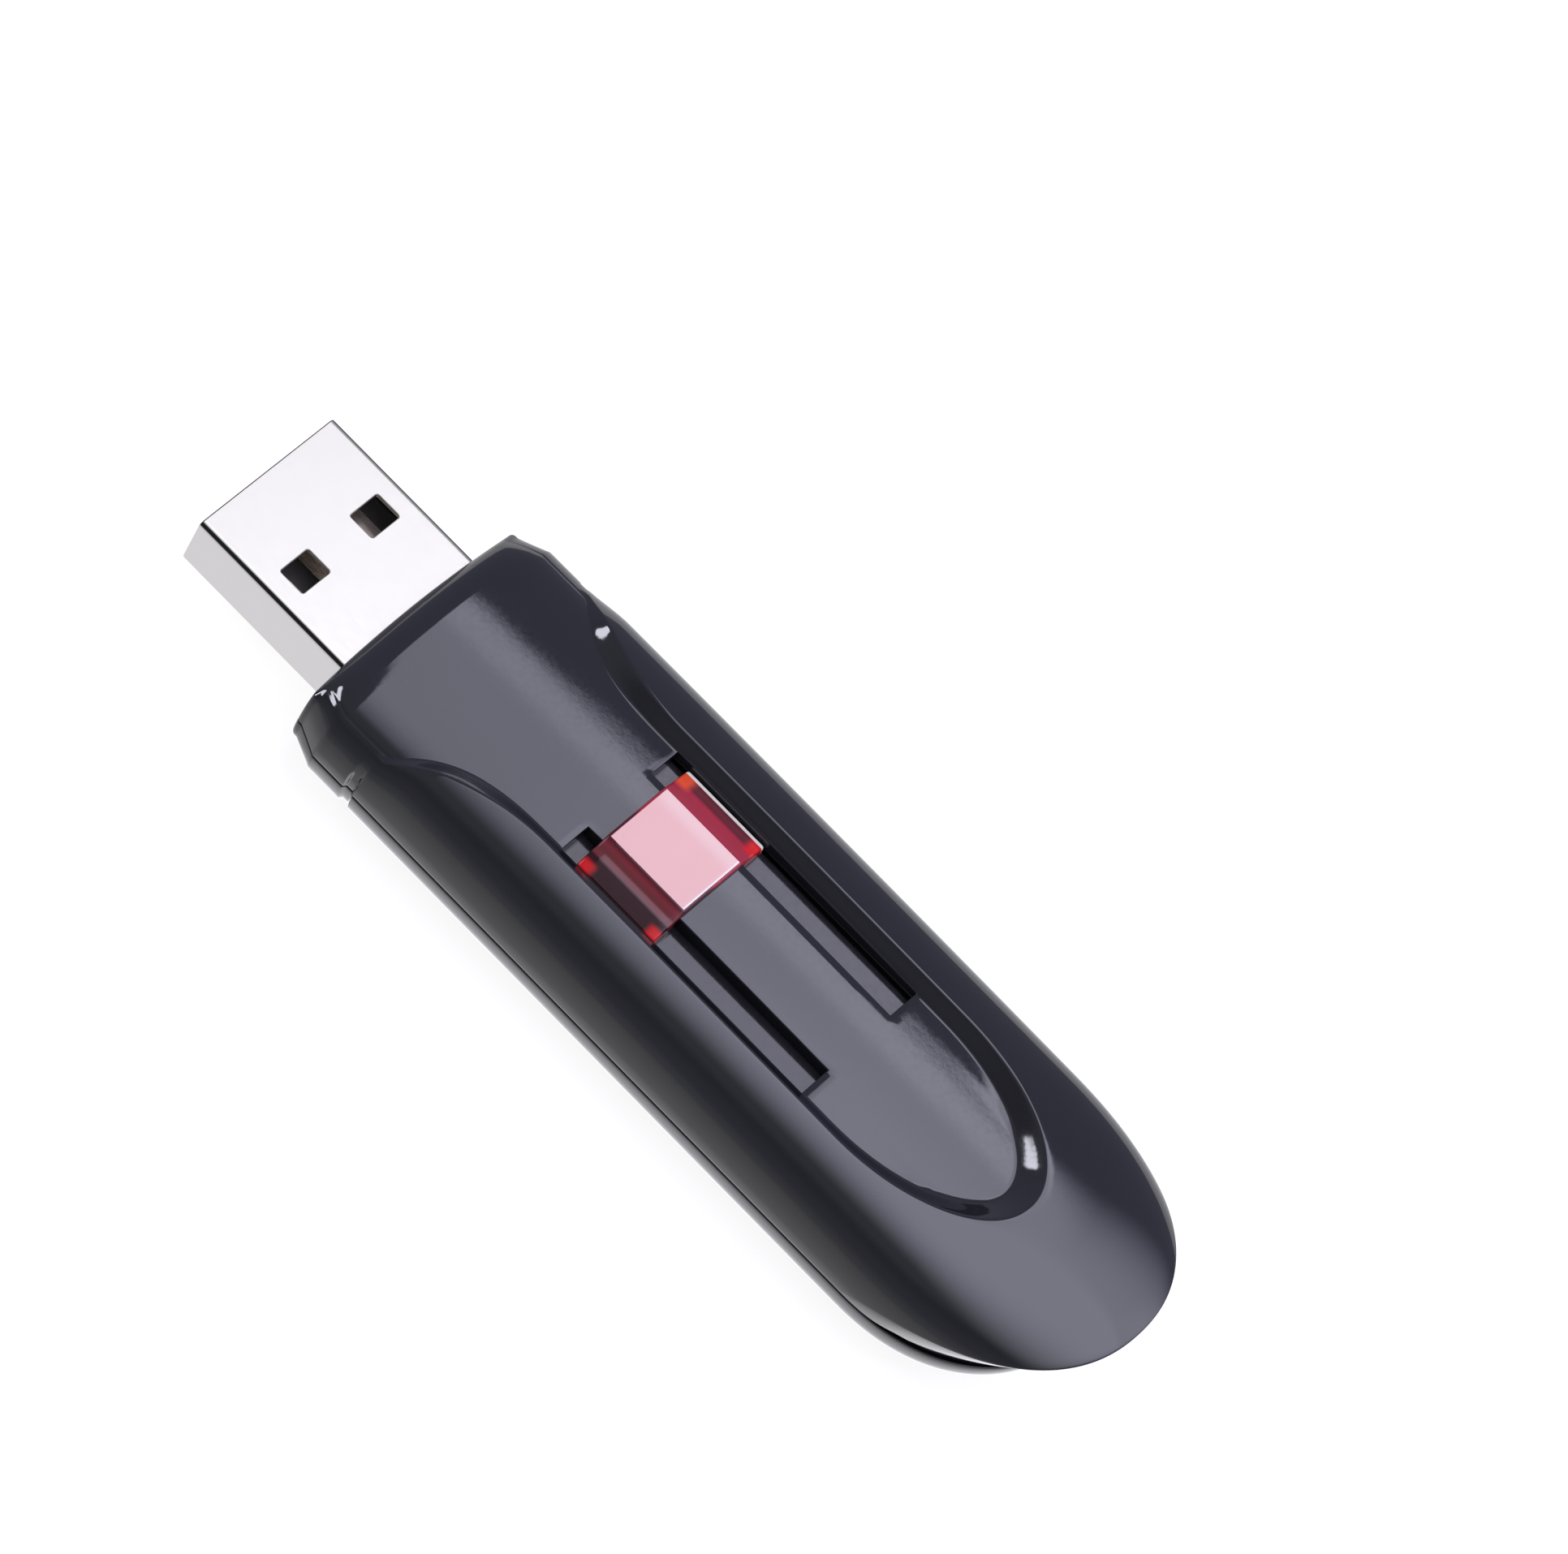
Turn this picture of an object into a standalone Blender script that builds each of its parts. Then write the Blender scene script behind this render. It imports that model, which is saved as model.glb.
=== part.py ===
"""Retractable USB flash drive. Blender 4.5, metres, +Z up.

The frame: X runs along the drive with the plug at +X, Y is across it, and Z=0 is the underside.
X=0 is the middle of the drive with its plug slid out. Sizes below are in millimetres.
A distance s is measured from the mouth of the housing towards its tail.
"""

import math

import bmesh
import bpy
from mathutils import Vector

MM = 0.001

# Housing, outside
BODY_LENGTH = 62.0
EXPOSED = 12.2  # plug outside the mouth, and the travel of the slide
HALF_WIDTH = 10.43
SEAM_Z = 4.35
SECTION_POWER = 3.6  # roundness of the upper cross-section
LOWER_POWER = 2.8  # roundness of the lower cross-section
UNDERSIDE_CUT = 0.15  # how far the round underside is cut flat
FLOOR_RISE = 4.6  # seam to the floor of the recess
SHOULDER_RISE = 5.56  # seam to the virtual crown of the shoulders
CROWN_DROP, CROWN_MID = 0.25, 25.0  # lengthwise fall of the top, and where it is highest
SHOULDER_START, SHOULDER_FULL = 6.0, 16.0
LIP_LENGTH, LIP_LOW_Z = 2.0, 7.0
BOW = 0.5  # the mouth edge is this much further back at its corners
CORNER_IN, CORNER_START, CORNER_END = 0.97, 0.5, 2.6
GROOVE_S, GROOVE_HALF, GROOVE_DEPTH = 5.75, 0.45, 0.45

# Tail
TAIL_START = 47.9
TAIL_POWER = 2.2
CREASE_LENGTH = BODY_LENGTH - TAIL_START
TOP_LENGTH = 16.0  # where the upper surface would end if the crease did not cut it
SEAM_LENGTH = 12.0
SLOT_GAP = 0.8  # height of the lanyard slot
SEAM_GAP = 0.05

# Recess and slots in the top
FLOOR_HALF, CREST_HALF = 5.25, 6.13
FLARE_START, FLARE_RUN = 17.0, 10.5
FLOOR_FLARE, FLOOR_FLARE_POWER = 3.65, 3.2
CREST_FLARE, CREST_FLARE_POWER = 3.1, 2.0
FLOOR_END_MID, FLOOR_END = 40.4, 50.5
CREST_END_MID, CREST_END = 41.25, 52.1
SLOT_START, SLOT_END, SLOT_INNER = 17.5, 37.95, 2.8

# Housing, inside
CEILING_Z, FLOOR_Z = 7.95, 1.2
INNER_FLAT, INNER_HALF, INNER_TAIL = 5.3, 9.2, 10.6
INNER_MARGIN = 0.05  # the ceiling's columns stay this far inside the flat part of the ceiling
INNER_FOOT, WALL_SHARE = 0.93, 0.6  # rounding at the foot of the lower shell's inner wall
CHANNEL_END, CHANNEL_HALF, CHANNEL_TOP, CHANNEL_LOW = 4.8, 6.2, 6.85, 1.95
ROOT = 0.1  # how deep ribs, tabs and the post reach into the wall they stand on
GUIDE_S, GUIDE_Y, GUIDE_HIGH = (6.5, 49.5), (7.55, 8.2), 3.3  # ribs beside the sled
TAB_S, TAB_LONG, TAB_Y, TAB_Z = (11.0, 40.0), 3.0, (8.5, 9.0), (3.2, 7.0)  # snap tabs
STOP_S, STOP_HALF, STOP_HIGH = (52.9, 53.7), 4.0, 3.8  # rib behind the sled
POST_S, POST_RADIUS, POST_HIGH = 55.8, 1.2, 7.1  # lanyard post

# Plug
PLUG_WIDTH, PLUG_HEIGHT, PLUG_Z = 12.0, 4.5, 4.4
PLUG_WALL, PLUG_CORNER = 0.3, 0.45
PLUG_REAR_S = 5.0
WINDOW_FRONT, WINDOW_LONG, WINDOW_WIDE, WINDOW_Y = 5.35, 2.0, 2.5, 3.1
TONGUE_LOW, TONGUE_TOP = 2.55, 4.25
CONTACT_YS = (("contact_vbus", -3.5), ("contact_data_minus", -1.0),
              ("contact_data_plus", 1.0), ("contact_ground", 3.5))

# Sled: carrier, board and slider
SLED_FRONT, SLED_REAR, SLED_HALF, SLED_INNER = 5.3, 40.2, 7.3, 6.45
SLED_LOW, SLED_SPLIT, SLED_TOP, SLED_PLATE = 1.5, 4.45, 6.95, 0.75
DECK_TOP, DECK_HALF, DECK_REAR = 7.85, 5.2, 39.5  # raised middle of the carrier's lid
BOARD_TOP, BOARD_THICK, BOARD_HALF = 4.2, 0.8, 6.3
BOARD_FRONT, BOARD_REAR = 5.15, 39.0
SLIDER_MID, SLIDER_LONG, SLIDER_HALF = 22.0, 6.6, 5.1
SLIDER_TOP_HALF, SLIDER_TOP, SLIDER_EDGE_Z = 2.85, 9.42, 8.98

NOSE_X = (BODY_LENGTH - EXPOSED) / 2


def clear_scene():
    for obj in list(bpy.data.objects):
        bpy.data.objects.remove(obj, do_unlink=True)


def new_collection(name):
    collection = bpy.data.collections.new(name)
    bpy.context.scene.collection.children.link(collection)
    return collection


def material(name, colour, roughness, metallic=0.0, transmission=0.0):
    made = bpy.data.materials.new(name)
    made.use_nodes = True
    shader = made.node_tree.nodes["Principled BSDF"]
    shader.inputs["Base Color"].default_value = (*colour, 1.0)
    shader.inputs["Roughness"].default_value = roughness
    shader.inputs["Metallic"].default_value = metallic
    shader.inputs["Transmission Weight"].default_value = transmission
    return made


def object_from(bm, name, collection, finish):
    """Turns a bmesh in millimetres into an object in metres."""
    bmesh.ops.recalc_face_normals(bm, faces=bm.faces)
    bmesh.ops.scale(bm, vec=Vector((MM, MM, MM)), verts=bm.verts)
    mesh = bpy.data.meshes.new(name)
    bm.to_mesh(mesh)
    bm.free()
    mesh.shade_smooth()
    mesh.set_sharp_from_angle(angle=math.radians(35))
    obj = bpy.data.objects.new(name, mesh)
    collection.objects.link(obj)
    if finish:
        mesh.materials.append(finish)
    return obj


def add_box(bm, s, y, z, bevel=0.0):
    """A box from ranges of s, y and z, with all its edges chamfered by bevel."""
    size = Vector((s[1] - s[0], y[1] - y[0], z[1] - z[0]))
    middle = Vector((NOSE_X - (s[0] + s[1]) / 2, (y[0] + y[1]) / 2, (z[0] + z[1]) / 2))
    made = bmesh.ops.create_cube(bm, size=1.0)["verts"]
    bmesh.ops.scale(bm, vec=size, verts=made)
    bmesh.ops.translate(bm, vec=middle, verts=made)
    if bevel:
        edges = list({edge for vert in made for edge in vert.link_edges})
        bmesh.ops.bevel(bm, geom=edges, offset=bevel, segments=1, affect="EDGES")
    return bm


def box_object(name, collection, finish, s, y, z, bevel=0.0):
    return object_from(add_box(bmesh.new(), s, y, z, bevel), name, collection, finish)


def boolean(obj, tool, operation, cutters, overlapping=False):
    """Joins or cuts obj with tool, which becomes a hidden guide; its own boxes may overlap."""
    tool.hide_render = True
    tool.display_type = "WIRE"
    for user in list(tool.users_collection):
        user.objects.unlink(tool)
    cutters.objects.link(tool)
    step = obj.modifiers.new(f"{operation.lower()} {tool.name}", "BOOLEAN")
    step.operation = operation
    step.solver = "EXACT"
    step.use_self = overlapping
    step.object = tool


def add_loft(bm, rings, closed_ends):
    """Joins rings of equal length; the last ring meets the first when the ends are not closed."""
    loops = [[bm.verts.new(point) for point in ring] for ring in rings]
    count = len(loops[0])
    last = len(loops) - 1 if closed_ends else len(loops)
    for i in range(last):
        here, there = loops[i], loops[(i + 1) % len(loops)]
        for j in range(count):
            k = (j + 1) % count
            bm.faces.new((here[j], here[k], there[k], there[j]))
    if closed_ends:
        bm.faces.new(loops[0])
        bm.faces.new(loops[-1])
    return bm


# ---------------------------------------------------------------- housing surface


def smooth(low, high, value):
    share = min(max((value - low) / (high - low), 0.0), 1.0)
    return share * share * (3 - 2 * share)


def half_width(s):
    """Half the width at the seam: chamfered front corners, then a groove, then straight."""
    corner = min(max((CORNER_END - s) / (CORNER_END - CORNER_START), 0.0), 1.0)
    return HALF_WIDTH - CORNER_IN * corner


def groove(s, z):
    """Depth of the finger groove round the sides behind the nose."""
    along = 1 - min(abs(s - GROOVE_S) / GROOVE_HALF, 1.0)
    return GROOVE_DEPTH * min(along * 2, 1.0) * (1 - smooth(6.5, 8.3, z))


def recess_half(s, is_floor):
    """Half the width of the recess at s: at the foot of its wall, or at the crest of the wall."""
    half, flare = (FLOOR_HALF, FLOOR_FLARE) if is_floor else (CREST_HALF, CREST_FLARE)
    power = FLOOR_FLARE_POWER if is_floor else CREST_FLARE_POWER
    middle, end = (FLOOR_END_MID, FLOOR_END) if is_floor else (CREST_END_MID, CREST_END)
    if s < FLARE_START - FLARE_RUN:
        return (half + flare) * half_width(s) / HALF_WIDTH
    if s < FLARE_START:
        return half + flare * ((FLARE_START - s) / FLARE_RUN) ** power
    if s < middle:
        return half
    if s < end:
        return half * math.sqrt(1 - ((s - middle) / (end - middle)) ** 2)
    return 0.0


def rise(s, is_floor):
    if is_floor:
        return FLOOR_RISE
    share = smooth(SHOULDER_START, SHOULDER_FULL, s)
    return FLOOR_RISE + (SHOULDER_RISE - FLOOR_RISE) * share


def top_height(s, radius, is_floor):
    """Height of the upper surface, where radius is 0 on the middle line and 1 at the seam."""
    shape = max(1 - radius ** SECTION_POWER, 0.0) ** (1 / SECTION_POWER)
    z = SEAM_Z + (rise(s, is_floor) - CROWN_DROP * ((s - CROWN_MID) / CROWN_MID) ** 2) * shape
    if s < LIP_LENGTH and z > LIP_LOW_Z:
        z = LIP_LOW_Z + (z - LIP_LOW_Z) * math.sqrt(1 - (1 - s / LIP_LENGTH) ** 2)
    return z


class Ray:
    """A line from the middle of the housing to its edge: across it, or fanned round the tail."""

    def __init__(self, s=TAIL_START, angle=math.pi / 2):
        self.s = s
        self.along = math.cos(angle) ** (2 / TAIL_POWER) if angle < math.pi / 2 - 1e-6 else 0.0
        self.across = math.sin(angle) ** (2 / TAIL_POWER) if angle > 1e-6 else 0.0

    def place(self, radius, length=TOP_LENGTH, half=None):
        half = half_width(self.s) if half is None else half
        return self.s + length * self.along * radius, half * self.across * radius

    def outer_radius(self):
        """The radius at which the crease cuts the upper surface."""
        grown = (self.along * TOP_LENGTH / CREASE_LENGTH) ** TAIL_POWER
        return (grown + self.across ** TAIL_POWER) ** (-1 / TAIL_POWER)

    def recess_radius(self, is_floor):
        low, high = 0.0, 1.0
        for _ in range(40):
            middle = (low + high) / 2
            s, y = self.place(middle)
            inside = y < recess_half(s, is_floor) and s < (FLOOR_END if is_floor else CREST_END)
            low, high = (middle, high) if inside else (low, middle)
        return low

    def tail_share(self):
        return self.along ** TAIL_POWER


def lanyard_gap(ray):
    """Height of the slot between the shells: none along the sides, widest at the tail's quarters."""
    open_part = smooth(0.0, 0.12, ray.tail_share())
    return SEAM_GAP + SLOT_GAP * open_part * (1 - 0.6 * smooth(0.75, 1.0, ray.tail_share()))


def point(s, y, z, side):
    """A point in the part's frame; near the mouth it follows the bowed front edge."""
    bowed = s + BOW * (y / HALF_WIDTH) ** 2 * max(0.0, 1 - s / 4)
    y -= groove(s, z) if y > 9.0 else 0.0
    return Vector((NOSE_X - bowed, side * y, z))


def top_outer_row(ray, side_steps):
    """Points of the upper shell's outside, from the seam to the middle line."""
    start = ray.outer_radius()
    crest, foot = ray.recess_radius(False), ray.recess_radius(True)
    low = SEAM_Z + lanyard_gap(ray)
    s, y = ray.place(1.0, SEAM_LENGTH)
    row = [(s, y, low)]
    first = math.acos(min(start ** (SECTION_POWER / 2), 1.0))
    last = math.acos(crest ** (SECTION_POWER / 2))
    for i in range(side_steps + 1):
        angle = first + (last - first) * i / side_steps
        radius = math.cos(angle) ** (2 / SECTION_POWER)
        s, y = ray.place(radius)
        z = max(top_height(s, radius, False), low + 0.1 + 0.1 * i)
        row.append((s, y, z))
    inner = SLOT_INNER / FLOOR_HALF
    for share in (1.0, inner, inner / 2, 0.0):
        s, y = ray.place(foot * share)
        row.append((s, y, top_height(s, foot * share, True)))
    return row


def top_inner_row(ray, outer):
    """Points of the upper shell's inside, one for each outer point and in the same order."""
    in_channel = ray.s < CHANNEL_END
    half = CHANNEL_HALF if in_channel else INNER_HALF
    flat = CHANNEL_HALF if in_channel else INNER_FLAT
    top = CHANNEL_TOP if in_channel else CEILING_Z
    low = outer[0][2]
    fixed = len(outer) - 4
    row = []
    for i in range(fixed):
        share = i / (fixed - 1)
        radius = 1 + (flat / half - 1) * share ** 2
        s, y = ray.place(radius, INNER_TAIL, half)
        row.append((s, y, low + (top - low) * math.sin(share * math.pi / 2)))
    squeeze = min(1.0, (flat - INNER_MARGIN) / max(outer[fixed][1], 1e-6))
    row += [(s, y * squeeze, top) for s, y, _ in outer[fixed:]]
    return row


STATIONS = (0.0, 0.15, 0.5, 1.1, 2.0, 2.6, 4.0, CHANNEL_END - 0.005, CHANNEL_END,
            5.3, 5.525, 5.975, 6.2, 7.0, 8.0, 9.5, 11.5, 14.0, SLOT_START,
            24.6, 31.7, SLOT_END, 41.4, 44.0, 46.2)
TAIL_FAN = 9


def rays():
    straight = [Ray(s) for s in STATIONS]
    return straight + [Ray(angle=math.pi / 2 * (1 - i / TAIL_FAN)) for i in range(TAIL_FAN + 1)]


def full_rows(all_rays, rows):
    """Closes half rows over the middle line; the tail's rays come back up the other side."""
    straight = len(STATIONS) + 1
    whole = []
    for half in rows[:straight]:
        left = [point(*p, 1) for p in half]
        right = [point(*p, -1) for p in reversed(half[:-1])]
        whole.append(left + right)
    fan = [[point(*p, 1) for p in half] for half in rows[straight:]]
    fan += [[point(*p, -1) for p in half] for half in reversed(rows[straight:-1])]
    return whole, fan


def skin(bm, whole, fan, holes=()):
    """Faces of one surface. Returns the vertex rows of its straight part and of its fan."""
    grid = [[bm.verts.new(p) for p in row] for row in whole]
    half = len(whole[0]) // 2
    hub = grid[-1][half]
    spread = [grid[-1][:half + 1]]
    spread += [[bm.verts.new(p) for p in row[:-1]] + [hub] for row in fan]
    spread += [list(reversed(grid[-1][half:]))]
    for i in range(len(grid) - 1):
        for j in range(len(grid[0]) - 1):
            if (i, j) not in holes:
                bm.faces.new((grid[i][j], grid[i][j + 1], grid[i + 1][j + 1], grid[i + 1][j]))
    for a, b in zip(spread, spread[1:]):
        for j in range(half - 1):
            bm.faces.new((a[j], a[j + 1], b[j + 1], b[j]))
        bm.faces.new((a[half - 1], hub, b[half - 1]))
    return grid, spread


def bridge(bm, outer, inner):
    for a, b, c, d in zip(outer, outer[1:], inner[1:], inner):
        bm.faces.new((a, b, c, d))


def close_shell(bm, outer, inner):
    """Joins the outside to the inside along the seam and round the mouth."""
    (grid_a, fan_a), (grid_b, fan_b) = outer, inner
    for edge in (0, -1):
        bridge(bm, [row[edge] for row in grid_a], [row[edge] for row in grid_b])
    bridge(bm, [row[0] for row in fan_a], [row[0] for row in fan_b])
    bridge(bm, grid_a[0], grid_b[0])


def slot_holes(columns):
    """The grid cells that the two slots leave open, and their outlines."""
    first, last = STATIONS.index(SLOT_START), STATIONS.index(SLOT_END)
    foot = columns // 2 - 3
    sides = (foot, columns - 2 - foot)
    holes = {(i, j) for i in range(first, last) for j in sides}
    outlines = []
    for j in sides:
        loop = [(i, j) for i in range(first, last)] + [(last, j), (last, j + 1)]
        loop += [(i, j + 1) for i in range(last - 1, first - 1, -1)] + [(first, j)]
        outlines.append(loop)
    return holes, outlines


def top_shell(parts, cutters, finish):
    all_rays = rays()
    outer_rows = [top_outer_row(ray, 7) for ray in all_rays]
    inner_rows = [top_inner_row(ray, row) for ray, row in zip(all_rays, outer_rows)]
    bm = bmesh.new()
    whole, fan = full_rows(all_rays, outer_rows)
    holes, outlines = slot_holes(len(whole[0]))
    outer = skin(bm, whole, fan, holes)
    inner = skin(bm, *full_rows(all_rays, inner_rows), holes)
    close_shell(bm, outer, inner)
    for loop in outlines:
        bridge(bm, [outer[0][i][j] for i, j in loop], [inner[0][i][j] for i, j in loop])
    shell = object_from(bm, "top_shell", parts, finish)
    tabs = bmesh.new()
    for s in TAB_S:
        for side in (-1, 1):
            y = sorted((side * TAB_Y[0], side * TAB_Y[1]))
            add_box(tabs, (s - TAB_LONG / 2, s + TAB_LONG / 2), y, TAB_Z)
    boolean(shell, object_from(tabs, "snap tabs", cutters, None), "UNION", cutters)
    return shell


# ---------------------------------------------------------------- lower shell


def bottom_outer_row(ray, steps):
    """Points of the lower shell's outside, from the seam to the middle line."""
    row = []
    for i in range(steps + 1):
        angle = math.pi / 2 * i / steps
        radius = max(math.cos(angle), 0.0) ** (2 / LOWER_POWER) if i < steps else 0.0
        s, y = ray.place(radius, SEAM_LENGTH)
        shape = max(1 - radius ** LOWER_POWER, 0.0) ** (1 / LOWER_POWER)
        z = max(SEAM_Z - (SEAM_Z + UNDERSIDE_CUT) * shape, 0.0)
        row.append((s, y, z - (SEAM_GAP if i == 0 else 0.0)))
    return row


def bottom_inner_row(ray, outer):
    """Points of the lower shell's inside: down its wall, then across its floor."""
    in_channel = ray.s < CHANNEL_END
    half, low = (CHANNEL_HALF, CHANNEL_LOW) if in_channel else (INNER_HALF, FLOOR_Z)
    top = outer[0][2]
    profile = [(1.0, 0.0), (1.0, WALL_SHARE), (1.0 if in_channel else INNER_FOOT, 1.0)]
    steps = len(outer) - len(profile)
    profile += [(INNER_FOOT * (1 - i / steps), 1.0) for i in range(1, steps + 1)]
    row = []
    for radius, drop in profile:
        s, y = ray.place(radius, INNER_TAIL, half)
        row.append((s, y, top + (low - top) * drop))
    return row


def bottom_shell(parts, cutters, finish):
    all_rays = rays()
    outer_rows = [bottom_outer_row(ray, 8) for ray in all_rays]
    inner_rows = [bottom_inner_row(ray, row) for ray, row in zip(all_rays, outer_rows)]
    bm = bmesh.new()
    outer = skin(bm, *full_rows(all_rays, outer_rows))
    inner = skin(bm, *full_rows(all_rays, inner_rows))
    close_shell(bm, outer, inner)
    shell = object_from(bm, "bottom_shell", parts, finish)
    ribs = bmesh.new()
    rooted = FLOOR_Z - ROOT
    for side in (-1, 1):
        add_box(ribs, GUIDE_S, sorted((side * GUIDE_Y[0], side * GUIDE_Y[1])), (rooted, GUIDE_HIGH))
    add_box(ribs, STOP_S, (-STOP_HALF, STOP_HALF), (rooted, STOP_HIGH))
    boolean(shell, object_from(ribs, "guide ribs", cutters, None), "UNION", cutters)
    post = bmesh.new()
    bmesh.ops.create_cone(post, cap_ends=True, segments=20, radius1=POST_RADIUS,
                          radius2=POST_RADIUS, depth=POST_HIGH - rooted)
    middle = Vector((NOSE_X - POST_S, 0, (rooted + POST_HIGH) / 2))
    bmesh.ops.translate(post, vec=middle, verts=post.verts)
    boolean(shell, object_from(post, "lanyard post", cutters, None), "UNION", cutters)
    return shell


# ---------------------------------------------------------------- plug


def plug_ring(s, inset):
    """A rounded rectangle across the plug, set in from its outside."""
    half_y, half_z = PLUG_WIDTH / 2 - inset, PLUG_HEIGHT / 2 - inset
    radius = max(PLUG_CORNER - inset, 0.15)
    ring = []
    for corner in range(4):
        cy = (half_y - radius) * (1 if corner in (0, 3) else -1)
        cz = (half_z - radius) * (1 if corner < 2 else -1)
        for i in range(5):
            angle = math.pi / 2 * (corner + i / 4)
            y = cy + radius * math.cos(angle)
            ring.append(Vector((NOSE_X - s, y, PLUG_Z + cz + radius * math.sin(angle))))
    return ring


def plug_shell(parts, cutters, finish):
    bm = bmesh.new()
    rings = [plug_ring(-EXPOSED, 0), plug_ring(PLUG_REAR_S, 0)]
    rings += [plug_ring(PLUG_REAR_S, PLUG_WALL), plug_ring(-EXPOSED, PLUG_WALL)]
    add_loft(bm, rings, closed_ends=False)
    shell = object_from(bm, "plug_shell", parts, finish)
    tabs = bmesh.new()
    for side in (-1, 1):
        y = sorted((side * 5.72, side * 5.98))
        add_box(tabs, (PLUG_REAR_S - 0.6, 8.0), y, (3.4, 5.0))
    boolean(shell, object_from(tabs, "solder tabs", cutters, None), "UNION", cutters)
    windows = bmesh.new()
    front = -EXPOSED + WINDOW_FRONT
    for side in (-1, 1):
        for z in (PLUG_Z - PLUG_HEIGHT / 2, PLUG_Z + PLUG_HEIGHT / 2):
            y = (side * WINDOW_Y - WINDOW_WIDE / 2, side * WINDOW_Y + WINDOW_WIDE / 2)
            add_box(windows, (front, front + WINDOW_LONG), y, (z - 0.35, z + 0.35))
    boolean(shell, object_from(windows, "windows", cutters, None), "DIFFERENCE", cutters)
    return shell


def plug_insulator(parts, cutters, finish):
    tongue = box_object("plug_insulator", parts, finish, (1.0 - EXPOSED, 4.9), (-5.5, 5.5),
                        (TONGUE_LOW, TONGUE_TOP))
    block = bmesh.new()
    add_box(block, (-2.7, 4.9), (-5.5, 5.5), (4.7, 6.25))
    boolean(tongue, object_from(block, "rear block", cutters, None), "UNION", cutters)
    for side in (-1, 1):
        y = sorted((side * 4.8, side * 5.5))
        post = add_box(bmesh.new(), (-2.7, 4.9), y, (4.0, 5.2))
        boolean(tongue, object_from(post, f"rear post {side}", cutters, None), "UNION", cutters)
    return tongue


def contact(name, y, parts, finish):
    """A flat contact strip on the tongue; its tail runs back over the board."""
    front = 2.0 - EXPOSED if abs(y) > 2 else 3.0 - EXPOSED
    low = TONGUE_TOP + 0.03
    return box_object(name, parts, finish, (front, 6.9), (y - 0.5, y + 0.5), (low, low + 0.15))


# ---------------------------------------------------------------- sled


def sled_base(parts, cutters, finish):
    """Open tray: a floor, two side walls with ledges for the board, and a rear wall."""
    base = box_object("sled_base", parts, finish, (SLED_FRONT, SLED_REAR),
                      (-SLED_HALF, SLED_HALF), (SLED_LOW, SLED_SPLIT))
    hollow = bmesh.new()
    board_low = BOARD_TOP - BOARD_THICK
    add_box(hollow, (SLED_FRONT - 1, SLED_REAR - 0.9), (-SLED_INNER, SLED_INNER),
            (board_low - 0.1, SLED_SPLIT + 1))
    boolean(base, object_from(hollow, "board bay", cutters, None), "DIFFERENCE", cutters)
    lower = bmesh.new()
    add_box(lower, (SLED_FRONT - 1, SLED_REAR - 2), (-5.4, 5.4), (SLED_LOW + 0.7, board_low))
    boolean(base, object_from(lower, "under bay", cutters, None), "DIFFERENCE", cutters)
    slits = bmesh.new()
    for side in (-1, 1):
        y = sorted((side * 6.75, side * 8.0))
        add_box(slits, (29.0, 38.6), y, (SLED_LOW - 1, 2.3))
        add_box(slits, (29.0, 38.6), y, (3.7, SLED_SPLIT + 1))
        add_box(slits, (38.0, 38.6), y, (SLED_LOW - 1, SLED_SPLIT + 1))
        add_box(slits, (29.0, 38.6), sorted((side * 6.4, side * 6.8)), (2.2, 3.8))
    slit_tool = object_from(slits, "detent arm slits", cutters, None)
    boolean(base, slit_tool, "DIFFERENCE", cutters, overlapping=True)
    return base


def sled_cover(parts, cutters, finish):
    """Lid of the carrier, whose top is the floor of the slots, with holes for the slider's legs."""
    low = SLED_SPLIT + 0.05
    cover = box_object("sled_cover", parts, finish, (SLED_FRONT, SLED_REAR),
                       (-SLED_HALF, SLED_HALF), (low, SLED_TOP), bevel=0.1)
    hollow = bmesh.new()
    add_box(hollow, (SLED_FRONT - 1, SLED_REAR - 0.9), (-SLED_INNER, SLED_INNER),
            (low - 1, SLED_TOP - SLED_PLATE))
    for side in (-1, 1):
        y = sorted((side * 3.0, side * 4.95))
        add_box(hollow, (SLIDER_MID - 2.6, SLIDER_MID + 2.6), y, (low, DECK_TOP + 1))
    deck = box_object("deck", cutters, None, (SLED_FRONT, DECK_REAR), (-DECK_HALF, DECK_HALF),
                      (SLED_TOP - 0.4, DECK_TOP), bevel=0.1)
    boolean(cover, deck, "UNION", cutters)
    bay = object_from(hollow, "cover bay", cutters, None)
    boolean(cover, bay, "DIFFERENCE", cutters, overlapping=True)
    return cover


def slider_section(s, shrink):
    """Outline of the slider across the drive: flat top, sloped flanks and two legs."""
    half = SLIDER_HALF - shrink
    under, leg_inner, leg_low = 9.02, SLOT_INNER + 0.25, DECK_TOP + 0.08
    right = [(0.0, SLIDER_TOP - shrink), (SLIDER_TOP_HALF - shrink, SLIDER_TOP - shrink),
             (half, SLIDER_EDGE_Z), (half, leg_low), (leg_inner, leg_low), (leg_inner, under)]
    ring = right + [(-y, z) for y, z in reversed(right[1:])]
    return [Vector((NOSE_X - s, y, z)) for y, z in ring]


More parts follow.
